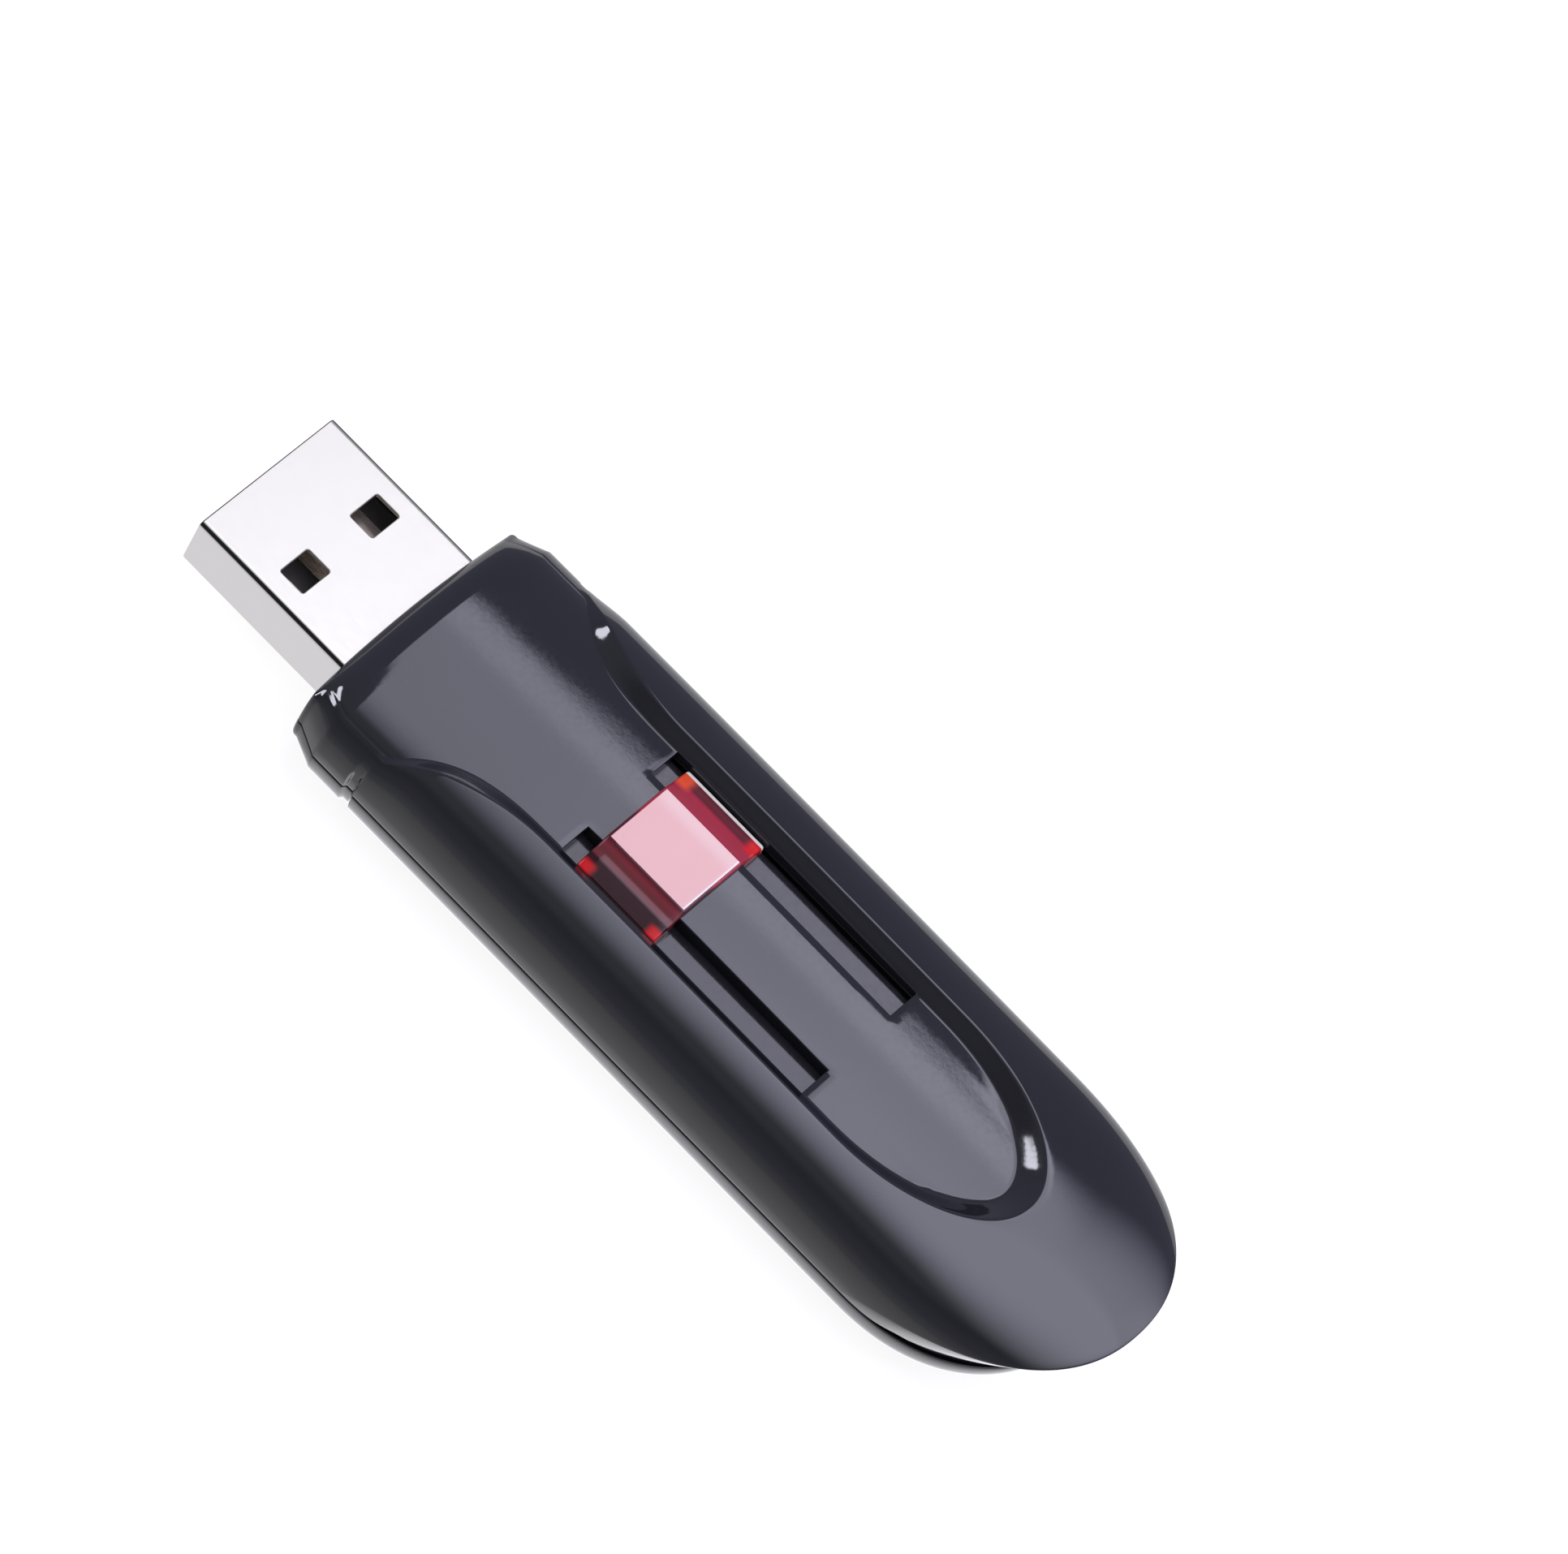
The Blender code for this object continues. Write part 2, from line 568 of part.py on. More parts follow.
def slider_button(parts, cutters, finish):
    front, rear = SLIDER_MID - SLIDER_LONG / 2, SLIDER_MID + SLIDER_LONG / 2
    bm = bmesh.new()
    stations = ((front, 0.15), (front + 0.15, 0.0), (rear - 0.15, 0.0), (rear, 0.15))
    add_loft(bm, [slider_section(*station) for station in stations], closed_ends=True)
    button = object_from(bm, "slider_button", parts, finish)
    pins = bmesh.new()
    for side in (-1, 1):
        add_box(pins, (SLIDER_MID - 2.4, SLIDER_MID + 2.4), sorted((side * 3.2, side * 4.7)),
                (5.75, DECK_TOP + 0.6))
    boolean(button, object_from(pins, "leg pins", cutters, None), "UNION", cutters)
    hooks = bmesh.new()
    for side in (-1, 1):
        add_box(hooks, (SLIDER_MID - 2.0, SLIDER_MID + 2.0), sorted((side * 2.8, side * 4.0)),
                (5.7, 6.1))
    boolean(button, object_from(hooks, "leg hooks", cutters, None), "UNION", cutters)
    return button


# ---------------------------------------------------------------- board and its parts


def circuit_board(parts, cutters, finish):
    board = box_object("circuit_board", parts, finish, (BOARD_FRONT, BOARD_REAR),
                       (-BOARD_HALF, BOARD_HALF), (BOARD_TOP - BOARD_THICK, BOARD_TOP))
    notches = bmesh.new()
    for side in (-1, 1):
        add_box(notches, (BOARD_FRONT - 1, 8.3), sorted((side * 5.6, side * 8.0)),
                (BOARD_TOP - 2, BOARD_TOP + 1))
    boolean(board, object_from(notches, "tab notches", cutters, None), "DIFFERENCE", cutters)
    return board


def leads(rows, low, high):
    """Boxes for the leads of a chip, each given by its s range and y range."""
    bm = bmesh.new()
    for s, y in rows:
        add_box(bm, s, y, (low, high))
    return bm


def flash_memory_chip(parts, cutters, finish):
    """A 48-lead memory package: 24 leads at each end, half a millimetre apart."""
    low = BOARD_TOP + 0.04
    s0, s1, half = 18.9, 37.3, 5.9
    chip = box_object("flash_memory_chip", parts, finish, (s0, s1), (-half, half),
                      (low + 0.1, low + 1.1), bevel=0.12)
    rows = []
    for i in range(24):
        y = (i - 11.5) * 0.48
        rows.append(((s0 - 0.8, s0 + 0.4), (y - 0.11, y + 0.11)))
        rows.append(((s1 - 0.4, s1 + 0.8), (y - 0.11, y + 0.11)))
    tool = object_from(leads(rows, low, low + 0.45), "memory leads", cutters, None)
    boolean(chip, tool, "UNION", cutters)
    return chip


def controller_chip(parts, cutters, finish):
    low, mid, half = BOARD_TOP + 0.04, 12.8, 2.9
    chip = box_object("controller_chip", parts, finish, (mid - half, mid + half),
                      (-half, half), (low + 0.1, low + 1.0), bevel=0.12)
    rows = []
    for i in range(10):
        at = (i - 4.5) * 0.5
        for side in (-1, 1):
            reach = sorted((side * (half - 0.3), side * (half + 0.5)))
            rows.append(((mid + reach[0], mid + reach[1]), (at - 0.11, at + 0.11)))
            rows.append(((mid + at - 0.11, mid + at + 0.11), tuple(reach)))
    tool = object_from(leads(rows, low, low + 0.4), "controller leads", cutters, None)
    boolean(chip, tool, "UNION", cutters)
    return chip


def voltage_regulator(parts, cutters, finish):
    low, s, y = BOARD_TOP + 0.04, 8.4, 4.5
    body = box_object("voltage_regulator", parts, finish, (s - 0.65, s + 0.65),
                      (y - 0.9, y + 0.9), (low + 0.1, low + 0.95), bevel=0.1)
    rows = [((s - 1.1, s - 0.3), (y - 0.8, y - 0.5)), ((s - 1.1, s - 0.3), (y + 0.5, y + 0.8)),
            ((s + 0.3, s + 1.1), (y - 0.15, y + 0.15))]
    tool = object_from(leads(rows, low, low + 0.4), "regulator leads", cutters, None)
    boolean(body, tool, "UNION", cutters)
    return body


SMALL_PARTS = (
    # name, finish, middle s, middle y, size along s, size along y, height
    ("crystal_can", "can", 12.6, 4.9, 3.2, 2.0, 0.75),
    ("activity_led", "led", 17.3, 0.0, 0.8, 1.6, 0.6),
    ("capacitor_input", "ceramic", 8.3, -4.7, 1.6, 0.8, 0.8),
    ("capacitor_core", "ceramic", 15.4, -4.8, 0.8, 1.6, 0.8),
    ("capacitor_flash_a", "ceramic", 17.3, 4.2, 0.8, 1.6, 0.8),
    ("capacitor_flash_b", "ceramic", 17.3, -4.2, 0.8, 1.6, 0.8),
    ("resistor_data_plus", "resistor", 8.2, 1.2, 1.0, 0.5, 0.35),
    ("resistor_data_minus", "resistor", 8.2, -1.2, 1.0, 0.5, 0.35),
    ("resistor_led", "resistor", 17.3, 2.1, 0.5, 1.0, 0.35),
    ("ferrite_bead", "ferrite", 8.3, -3.0, 1.6, 0.8, 0.8),
)


def small_part(name, finish, s, y, long, wide, tall, parts):
    low = BOARD_TOP + 0.04
    return box_object(name, parts, finish, (s - long / 2, s + long / 2),
                      (y - wide / 2, y + wide / 2), (low, low + tall), bevel=0.05)


def build():
    clear_scene()
    parts = new_collection("usb_flash_drive")
    cutters = new_collection("cutters")
    cutters.hide_render = True
    black = material("gloss black plastic", (0.012, 0.013, 0.018), 0.18)
    satin = material("satin black plastic", (0.015, 0.016, 0.02), 0.35)
    red = material("clear red plastic", (0.55, 0.02, 0.04), 0.08, transmission=0.8)
    steel = material("bright steel", (0.8, 0.79, 0.78), 0.2, metallic=1.0)
    dark = material("black insulator", (0.02, 0.02, 0.02), 0.45)
    gold = material("gold", (0.83, 0.6, 0.25), 0.25, metallic=1.0)
    green = material("green board", (0.02, 0.12, 0.05), 0.45)
    epoxy = material("black epoxy", (0.02, 0.02, 0.022), 0.6)
    small = {
        "can": material("plated can", (0.75, 0.74, 0.7), 0.3, metallic=1.0),
        "led": material("clear lamp", (0.8, 0.75, 0.6), 0.3),
        "ceramic": material("tan ceramic", (0.45, 0.32, 0.2), 0.5),
        "resistor": material("resistor black", (0.03, 0.03, 0.035), 0.4),
        "ferrite": material("grey ferrite", (0.15, 0.15, 0.16), 0.5),
    }
    top_shell(parts, cutters, black)
    bottom_shell(parts, cutters, black)
    slider_button(parts, cutters, red)
    plug_shell(parts, cutters, steel)
    plug_insulator(parts, cutters, dark)
    for name, y in CONTACT_YS:
        contact(name, y, parts, gold)
    sled_base(parts, cutters, satin)
    sled_cover(parts, cutters, satin)
    circuit_board(parts, cutters, green)
    flash_memory_chip(parts, cutters, epoxy)
    controller_chip(parts, cutters, epoxy)
    voltage_regulator(parts, cutters, epoxy)
    for name, finish, *sizes in SMALL_PARTS:
        small_part(name, small[finish], *sizes, parts)


build()
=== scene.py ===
"""Looks of the retractable flash drive: fine housing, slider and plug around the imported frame.

X runs along the drive with the plug at +X, Y is across it, +Z is up. Shapes are worked out in
millimetres and scaled at the end. A distance s is measured from the mouth towards the tail.
"""

import math

import bmesh
import bpy
from mathutils import Matrix, Vector


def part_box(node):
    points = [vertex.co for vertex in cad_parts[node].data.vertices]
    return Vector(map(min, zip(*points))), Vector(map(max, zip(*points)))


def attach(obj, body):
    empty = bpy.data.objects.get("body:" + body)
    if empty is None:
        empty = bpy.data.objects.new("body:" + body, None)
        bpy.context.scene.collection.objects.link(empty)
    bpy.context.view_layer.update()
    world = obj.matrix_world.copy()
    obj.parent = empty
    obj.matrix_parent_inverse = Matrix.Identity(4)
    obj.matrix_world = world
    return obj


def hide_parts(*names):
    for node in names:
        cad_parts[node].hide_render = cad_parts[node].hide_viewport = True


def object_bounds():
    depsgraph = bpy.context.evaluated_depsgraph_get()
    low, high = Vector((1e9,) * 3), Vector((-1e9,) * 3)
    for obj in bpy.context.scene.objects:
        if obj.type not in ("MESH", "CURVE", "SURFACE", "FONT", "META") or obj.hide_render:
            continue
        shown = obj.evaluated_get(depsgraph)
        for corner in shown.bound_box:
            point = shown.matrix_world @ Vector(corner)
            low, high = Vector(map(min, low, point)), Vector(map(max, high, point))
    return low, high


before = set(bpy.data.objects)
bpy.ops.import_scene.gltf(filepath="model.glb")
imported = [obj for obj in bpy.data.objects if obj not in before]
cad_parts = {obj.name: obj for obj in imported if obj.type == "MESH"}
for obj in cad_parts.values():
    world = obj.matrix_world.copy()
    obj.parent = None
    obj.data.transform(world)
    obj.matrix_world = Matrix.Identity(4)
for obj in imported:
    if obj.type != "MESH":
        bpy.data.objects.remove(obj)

MM = 0.001
CAD_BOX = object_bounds()


def box_mm(node):
    low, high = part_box(node)
    return low / MM, high / MM


TOP_LOW, TOP_HIGH = box_mm("top_shell")
PLUG_LOW, PLUG_HIGH = box_mm("plug_shell")
BUTTON_LOW, BUTTON_HIGH = box_mm("slider_button")

# Housing, outside
NOSE_X = TOP_HIGH.x
BODY_LENGTH = TOP_HIGH.x - TOP_LOW.x
HALF_WIDTH = TOP_HIGH.y
SEAM_Z = 4.35
SECTION_POWER = 3.6  # roundness of the upper cross-section
LOWER_POWER = 2.8  # roundness of the lower cross-section
UNDERSIDE_CUT = 0.15  # how far the round underside is cut flat
FLOOR_RISE = 4.6  # seam to the floor of the recess
SHOULDER_RISE = 5.56  # seam to the virtual crown of the shoulders
CROWN_DROP, CROWN_MID = 0.25, 25.0  # lengthwise fall of the top, and where it is highest
SHOULDER_START, SHOULDER_FULL = 5.6, 9.4
LIP_LENGTH, LIP_LOW_Z = 2.05, 7.0
FRONT_ROUND = 0.3  # rounding of the front edge of the sides
BOW, BOW_REACH = 0.5, 4.0  # how far the mouth bends back at its corners, and how deep that goes
CORNER_IN, CORNER_START, CORNER_END = 0.97, 0.5, 2.6
GROOVE_S, GROOVE_HALF, GROOVE_DEPTH = 5.75, 0.45, 0.25
GROOVE_TOP, GROOVE_Y = (5.5, 7.6), 9.0  # it runs out between these heights, and only the sides have it

# Tail
TAIL_START = 47.9
TAIL_POWER = 2.2
CREASE_LENGTH = BODY_LENGTH - TAIL_START
TOP_LENGTH = 16.0  # where the upper surface would end if the crease did not cut it
SEAM_LENGTH = 11.5
SLOT_GAP = 0.45  # height of the lanyard slot
SLOT_OPENS, SLOT_NARROWS, SLOT_NARROWING = (0.0, 0.12), (0.75, 1.0), 0.6  # shares of the tail
SEAM_GAP = 0.05

# Recess and slots in the top
FLOOR_HALF, CREST_HALF = 5.25, 6.13
FLARE_START, FLARE_RUN = 17.0, 10.5
FLOOR_FLARE, FLOOR_FLARE_POWER = 3.65, 3.2
CREST_FLARE, CREST_FLARE_POWER = 3.1, 2.0
FLOOR_END_MID, FLOOR_END = 40.4, 50.5
CREST_END_MID, CREST_END = 41.25, 52.1
CROWN_RADIUS, CROWN_JOIN = 142.0, 3.4  # crown of the floor's middle, and where it ends
SLOT_START, SLOT_END, SLOT_INNER = 17.5, 37.95, 2.8
SLOT_ROUND = 0.09

# Housing, inside
CEILING_Z, FLOOR_Z = 7.95, 1.2
INNER_FLAT, INNER_HALF, INNER_TAIL = 5.3, 9.2, 10.0
INNER_MARGIN = 0.05  # the ceiling's columns stay this far inside its flat part
INNER_FOOT, CHANNEL_FOOT = 0.93, 0.98  # where the floor starts, as a share of the half width
CHANNEL_END, CHANNEL_HALF, CHANNEL_TOP, CHANNEL_LOW = 4.8, 6.2, 6.85, 1.95

ROOT = 0.1  # how deep the ribs and the post reach into the floor they stand on
GUIDE_S, GUIDE_Y, GUIDE_HIGH = (6.5, 49.5), (7.55, 8.2), 3.3  # ribs beside the sled
TAB_S, TAB_LONG, TAB_Y, TAB_Z = (11.0, 40.0), 3.0, (8.5, 9.0), (3.2, 7.0)  # snap tabs
STOP_S, STOP_HALF, STOP_HIGH = (52.9, 53.7), 4.0, 3.8  # rib behind the sled
POST_S, POST_RADIUS, POST_HIGH = 55.8, 1.2, 7.1  # lanyard post
RIB_ROUND = 0.08

# Plug
PLUG_REAR_S, PLUG_WALL, PLUG_CORNER, PLUG_RIM = 5.0, 0.3, 0.45, 0.1
WINDOW_FRONT, WINDOW_LONG, WINDOW_WIDE, WINDOW_Y = 5.35, 2.0, 2.5, 3.1
WINDOW_CORNER, WINDOW_RIM = 0.18, 0.05
WINDOW_CUT = ((-0.1, 0.12), (0.0, WINDOW_RIM), (WINDOW_RIM, 0.0), (0.5, 0.0))  # depth, growth
WINDOW_STEPS, CORNER_STEPS = 4, 8
PLUG_TAB_REAR, PLUG_TAB_Y, PLUG_TAB_Z = 8.0, (5.72, 5.98), (3.4, 5.0)  # tabs into the carrier
PLUG_TAB_ROOT, PLUG_TAB_ROUND = 0.6, 0.05
PLUG_LIP = 0.05  # rounding of the rim's inner edge
SEAM_HALF, SEAM_DEPTH = 0.05, 0.12  # folded seam along the plug's underside

# Slider
SLIDER_UNDER, SLIDER_TOP = 9.02, BUTTON_HIGH.z
SLIDER_LEG = (3.05, 5.1)
SLIDER_LEG_LOW = 7.93
SLIDER_FLANK = ((2.6, SLIDER_TOP), (3.47, 9.02), (3.95, 8.95), (5.06, 8.56))
SLIDER_ROUND = 0.1
SLIDER_ENDS = ((0.0, 0.16), (0.02, 0.09), (0.08, 0.03), (0.18, 0.0))  # distance in, shrink
SLIDER_SPANS = 8
SHRINK_Z = 0.8  # the outline shrinks less in height than in width
FLANK_FOOT_Z = 8.3  # where the flank ends and the leg's outside starts
PIN_ROUND = 0.06
FLAT_NORMAL, FACE_DEPTH = 0.995, 0.02  # what counts as the slider's flat face
PIN_S, PIN_Y, PIN_Z = 2.4, (3.2, 4.7), (5.75, 8.4)
HOOK_S, HOOK_Y, HOOK_Z = 2.0, (2.8, 4.0), (5.7, 6.1)

# Roundings of the cross-section
SEAM_ROUND, CREASE_ROUND, CREST_ROUND, FOOT_ROUND = 0.1, 0.12, 0.16, 0.14
SIDE_STEPS, ROUND_STEPS, WALL_STEPS, FLOOR_STEPS, BRIDGE_STEPS = 30, 4, 3, 5, 6
FAN_STEPS = 40
HALVINGS = 40
RIM_STEP = 0.35  # the side starts at least this far above the rim of the upper shell
SHARP = 32.0  # degrees between faces from which an edge stays sharp
TINY = 1e-4  # two coordinates closer than this are the same

# Light. Angles are in degrees, across and along the drive from straight up
DEGREES = 57.2958  # in a radian
FAR_TINT, NEAR_TINT = (0.95, 0.96, 1.28, 1), (0.97, 0.97, 1.1, 1)
PANEL_TINT = (0.96, 0.95, 1.16, 1)
PANEL_TURN = 3.0  # the far edge is straight in front of this angle along, and drifts behind it
PANEL_DRIFT = (6.0, 0.3, 0.82)  # how far the first drift reaches, its slope, and the slope after
PANEL_BLUR = (1.2, 1.9, 48.0)  # blur of the far edge: at the turn, growth behind it, limit
PANEL_FAR, PANEL_NEAR = 33.7, 18.0  # the edges on the far side (-Y) and on the near side
PANEL_NEAR_BLUR, PANEL_NEAR_DRIFT = 36.0, 0.9
PANEL_FRONT, PANEL_REAR = (13.2, 12.0), (-60.0, -35.0)
PANEL_LEVEL = (4.5, 9.5, 2.95, 2.2)  # brightness falls towards the front
MILD_ACROSS, MILD_ALONG, MILD_DROP = (-27.5, -31.5), (8.0, 6.0), 0.12  # duller next to the far edge
BRIGHT_ACROSS, BRIGHT_ALONG, BRIGHT_RISE = (-31.2, -31.8), (1.0, 3.0), 0.35  # brighter at the far edge
ROOM_FAR = (-30.0, 0.0, 0.31, 0.30)  # the room's level from the far side to the middle
ROOM_STEPS = ((37.0, 66.0, 0.0, 0.09), (66.0, 90.0, 0.0, 0.17))  # brighter again near the table
ROOM_DIP = (21.0, 37.0, 0.0, 0.14)  # darker beside the panel on the near side
TINT_TURN = 20.0  # the tint changes over this angle to both sides
BACKDROP = (0.98, 0.98, 0.98, 1)
LAMP_ENDS = (Vector((0.82, 0.12, 0.56)), Vector((0.73, 0.36, 0.58)))
LAMP_RADIUS, LAMP_LEVEL = 4.0, 10.0  # degrees, brightness
LAMP_EDGE = (1.2, 0.8)  # where a spot starts and where it is full, as shares of its radius
LAMP_SHARES = (0.0, 0.25, 0.5, 0.75, 1.0)  # round spots that together make the strip
TABLE_GREY, TABLE_GLOW, TABLE_HALF = 0.3, 0.88, 4.0  # the last one in metres
TABLE_DROP, MIRROR_DROP = 0.00005, 0.0001  # how far below the drive the sheets lie, in metres
MIRROR_TINT = (0.96, 0.96, 1.0, 1)
MIRROR_SIDES = ((-5.0, 5.0, 1.0, 0.73), (12.0, 80.0, 0.0, 0.26))  # darker towards +Y
MIRROR_RING = (14.5, 12.0, 0.0, 1.1)  # brighter close to the drive
MIRROR_NOSE = 3.0  # length over which the brighter part fades at the nose

# Camera, in degrees and millimetres
CAMERA_AZIMUTH, CAMERA_ELEVATION, CAMERA_ROLL = 193.74, 57.44, 33.62
CAMERA_LENS, CAMERA_SENSOR, CAMERA_DISTANCE = 223.6, 36.0, 586.2
CAMERA_CLIP = (0.01, 20.0)  # in metres
AIM = (2.06, -9.24, 9.01)

# Colours of the plug and of the slider
# The plug's second colour is painted shade, for dark lines along its folded edges and front edges
PLUG_BROAD, PLUG_EDGE_SHADE = (0.76, 0.75, 0.63, 1), (0.05, 0.05, 0.05, 1)
# Face colours are painted light: a lighter far side and a pale painted highlight line at the rear
FACE_LIT_SIDE, FACE_REAR_HIGHLIGHT = (0.95, 0.64, 0.6, 1), (1.0, 0.9, 0.9, 1)
# These flank colours are painted light: painted shade bands, painted glow spots and a painted highlight
# line
FLANK_FAR_SHADE, FLANK_EDGE_SHADE = (0.14, 0.012, 0.022, 1), (0.1, 0.008, 0.016, 1)
FLANK_BROWN_SHADE, FLANK_BLACK_SHADE = (0.17, 0.03, 0.036, 1), (0.03, 0.003, 0.006, 1)
FLANK_ORANGE_GLOW, FLANK_RED_GLOW = (0.85, 0.09, 0.03, 1), (0.75, 0.015, 0.02, 1)
FLANK_HIGHLIGHT_LINE = (0.9, 0.85, 0.75, 1)

# Where those colours lie, in millimetres; pairs are where a colour starts and where it is full
FLANK_MIDDLE = 0.5  # the two sides blend over this distance at the middle line
# Where the painted glow spots and the painted highlight line lie on the flanks
GLOW_SPOT_ENDS = ((BUTTON_HIGH.x, -1.3, FLANK_ORANGE_GLOW), (BUTTON_LOW.x, 1.1, FLANK_RED_GLOW))
GLOW_SPOT_CORE, GLOW_SPOT_FAR, GLOW_SPOT_NEAR = 0.45, (3.4, 3.9), (4.2, 4.6)
HIGHLIGHT_LINE_EDGES = (4.72, 4.82)
# Where the face's painted light, painted shade line and painted highlight line lie
LIT_SIDE_SPAN, FACE_FRONT_SHADE, REAR_HIGHLIGHT_SPAN = (-1.2, -2.2), (0.22, 0.16), (0.34, 0.26)
BROAD_DEPTH = (0.25, 0.1)
# Where the painted shade lines on the plug lie
EDGE_SHADE_DEPTH, EDGE_SHADE_IN = (0.24, 0.18), (0.3, 0.23)
FRONT_SHADE_DEPTH, FRONT_SHADE_IN = (0.12, 0.06), (0.12, 0.05)

# Parts inside
EASED, CARRIER_EASED = 0.03, 0.15  # rounding of the edges of small parts and of the carrier
END_SOFT = 0.004
TRACES = (("X", 0.55, 0.18), ("Y", 0.8, 0.3))  # direction, scale, scale of the groups
SILVER = (0.75, 0.74, 0.7, 1)
TRACE_EDGE, TRACE_GROUP, TRACE_GREEN = (0.78, 0.86), (0.5, 0.54), (0.05, 0.24, 0.11, 1)


# ---------------------------------------------------------------- small helpers


def smooth(low, high, value):
    share = min(max((value - low) / (high - low), 0.0), 1.0)
    return share * share * (3 - 2 * share)


def mix(a, b, share):
    return tuple(p + (q - p) * share for p, q in zip(a, b))


def away(start, target, distance):
    """The point at a distance from start towards target, at most 45% of the way."""
    span = math.dist(start, target)
    share = min(distance / span, 0.45) if span > 1e-9 else 0.0
    return mix(start, target, share)


def rounded(before, corner, after, radius, steps):
    """Points of a rounded corner between its neighbours."""
    a, b = away(corner, before, radius), away(corner, after, radius)
    points = []
    for i in range(steps + 1):
        t = i / steps
        points.append(mix(mix(a, corner, t), mix(corner, b, t), t))
    return points


def last_place(inner, outer, holds):
    """The last place between inner and outer where a condition holds, found by halving."""
    for _ in range(HALVINGS):
        middle = (inner + outer) / 2
        inner, outer = (middle, outer) if holds(middle) else (inner, middle)
    return inner


def object_from(bm, name):
    """A new object in the scene with the bmesh as its mesh."""
    mesh = bpy.data.meshes.new(name)
    bm.to_mesh(mesh)
    bm.free()
    made = bpy.data.objects.new(name, mesh)
    bpy.context.scene.collection.objects.link(made)
    return made


def piece_from(bm, name, body, finishes, replaces, weighted=False):
    """Turns a bmesh in millimetres into a piece in metres that rides on a body.

    A weighted piece has large flat faces, whose shading the small ones beside them leave alone."""
    bmesh.ops.recalc_face_normals(bm, faces=bm.faces)
    bmesh.ops.scale(bm, vec=Vector((MM, MM, MM)), verts=bm.verts)
    piece = object_from(bm, name)
    piece.data.shade_smooth()
    piece.data.set_sharp_from_angle(angle=math.radians(SHARP))
    if weighted:
        piece.modifiers.new("even shading", "WEIGHTED_NORMAL").keep_sharp = True
    for finish in finishes:
        piece.data.materials.append(finish)
    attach(piece, body)
    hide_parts(*replaces)
    return piece


def combined(base, tool, operation="UNION"):
    """The Boolean result of two bmeshes in millimetres, as a new bmesh."""
    objects = []
    for bm in (base, tool):
        bmesh.ops.recalc_face_normals(bm, faces=bm.faces)
        objects.append(object_from(bm, "operand"))
    step = objects[0].modifiers.new("step", "BOOLEAN")
    step.operation = operation
    step.solver = "EXACT"
    step.object = objects[1]
    made = objects[0].evaluated_get(bpy.context.evaluated_depsgraph_get())
    result = bmesh.new()
    result.from_mesh(made.to_mesh())
    made.to_mesh_clear()
    for operand in objects:
        bpy.data.meshes.remove(operand.data)
    return result


def add_box(bm, s, y, z, bevel=0.0):
    """A box from ranges of s, y and z, with rounded edges if there is a bevel."""
    size = Vector((s[1] - s[0], y[1] - y[0], z[1] - z[0]))
    middle = Vector((NOSE_X - (s[0] + s[1]) / 2, (y[0] + y[1]) / 2, (z[0] + z[1]) / 2))
    made = bmesh.ops.create_cube(bm, size=1.0)["verts"]
    bmesh.ops.scale(bm, vec=size, verts=made)
    bmesh.ops.translate(bm, vec=middle, verts=made)
    if bevel:
        edges = list(dict.fromkeys(edge for vert in made for edge in vert.link_edges))
        bmesh.ops.bevel(bm, geom=edges, offset=bevel, segments=2, affect="EDGES")


def add_pair(bm, s, y, z, bevel):
    """The same box on both sides of the middle line."""
    for side in (-1, 1):
        add_box(bm, s, sorted((side * y[0], side * y[1])), z, bevel)


# ---------------------------------------------------------------- housing surface


def half_width(s):
    """Half the width at the seam: rounded front edge, chamfered corners, then straight."""
    corner = min(max((CORNER_END - s) / (CORNER_END - CORNER_START), 0.0), 1.0)
    front = max(1 - s / FRONT_ROUND, 0.0)
    return HALF_WIDTH - CORNER_IN * corner - FRONT_ROUND * (1 - math.sqrt(1 - front * front))


def groove(s, z):
    """Depth of the finger groove round the sides behind the nose."""
    along = smooth(GROOVE_HALF, GROOVE_HALF / 2, abs(s - GROOVE_S))
    return GROOVE_DEPTH * along * (1 - smooth(*GROOVE_TOP, z))


def recess_half(s, is_floor):
    """Half the width of the recess at s: at the foot of its wall, or at the crest of the wall."""
    half, flare = (FLOOR_HALF, FLOOR_FLARE) if is_floor else (CREST_HALF, CREST_FLARE)
    power = FLOOR_FLARE_POWER if is_floor else CREST_FLARE_POWER
    middle, end = (FLOOR_END_MID, FLOOR_END) if is_floor else (CREST_END_MID, CREST_END)
    if s < FLARE_START - FLARE_RUN:
        return (half + flare) * half_width(s) / HALF_WIDTH
    if s < FLARE_START:
        return half + flare * ((FLARE_START - s) / FLARE_RUN) ** power
    if s < middle:
        return half
    if s < end:
        return half * math.sqrt(1 - ((s - middle) / (end - middle)) ** 2)
    return 0.0


def top_height(s, radius, is_floor):
    """Height of the upper surface, where radius is 0 on the middle line and 1 at the seam."""
    rise = FLOOR_RISE
    if not is_floor:
        rise += (SHOULDER_RISE - FLOOR_RISE) * smooth(SHOULDER_START, SHOULDER_FULL, s)
    shape = max(1 - radius ** SECTION_POWER, 0.0) ** (1 / SECTION_POWER)
    z = SEAM_Z + (rise - CROWN_DROP * ((s - CROWN_MID) / CROWN_MID) ** 2) * shape
    if s < LIP_LENGTH and z > LIP_LOW_Z:
        z = LIP_LOW_Z + (z - LIP_LOW_Z) * math.sqrt(1 - (1 - s / LIP_LENGTH) ** 2)
    return z


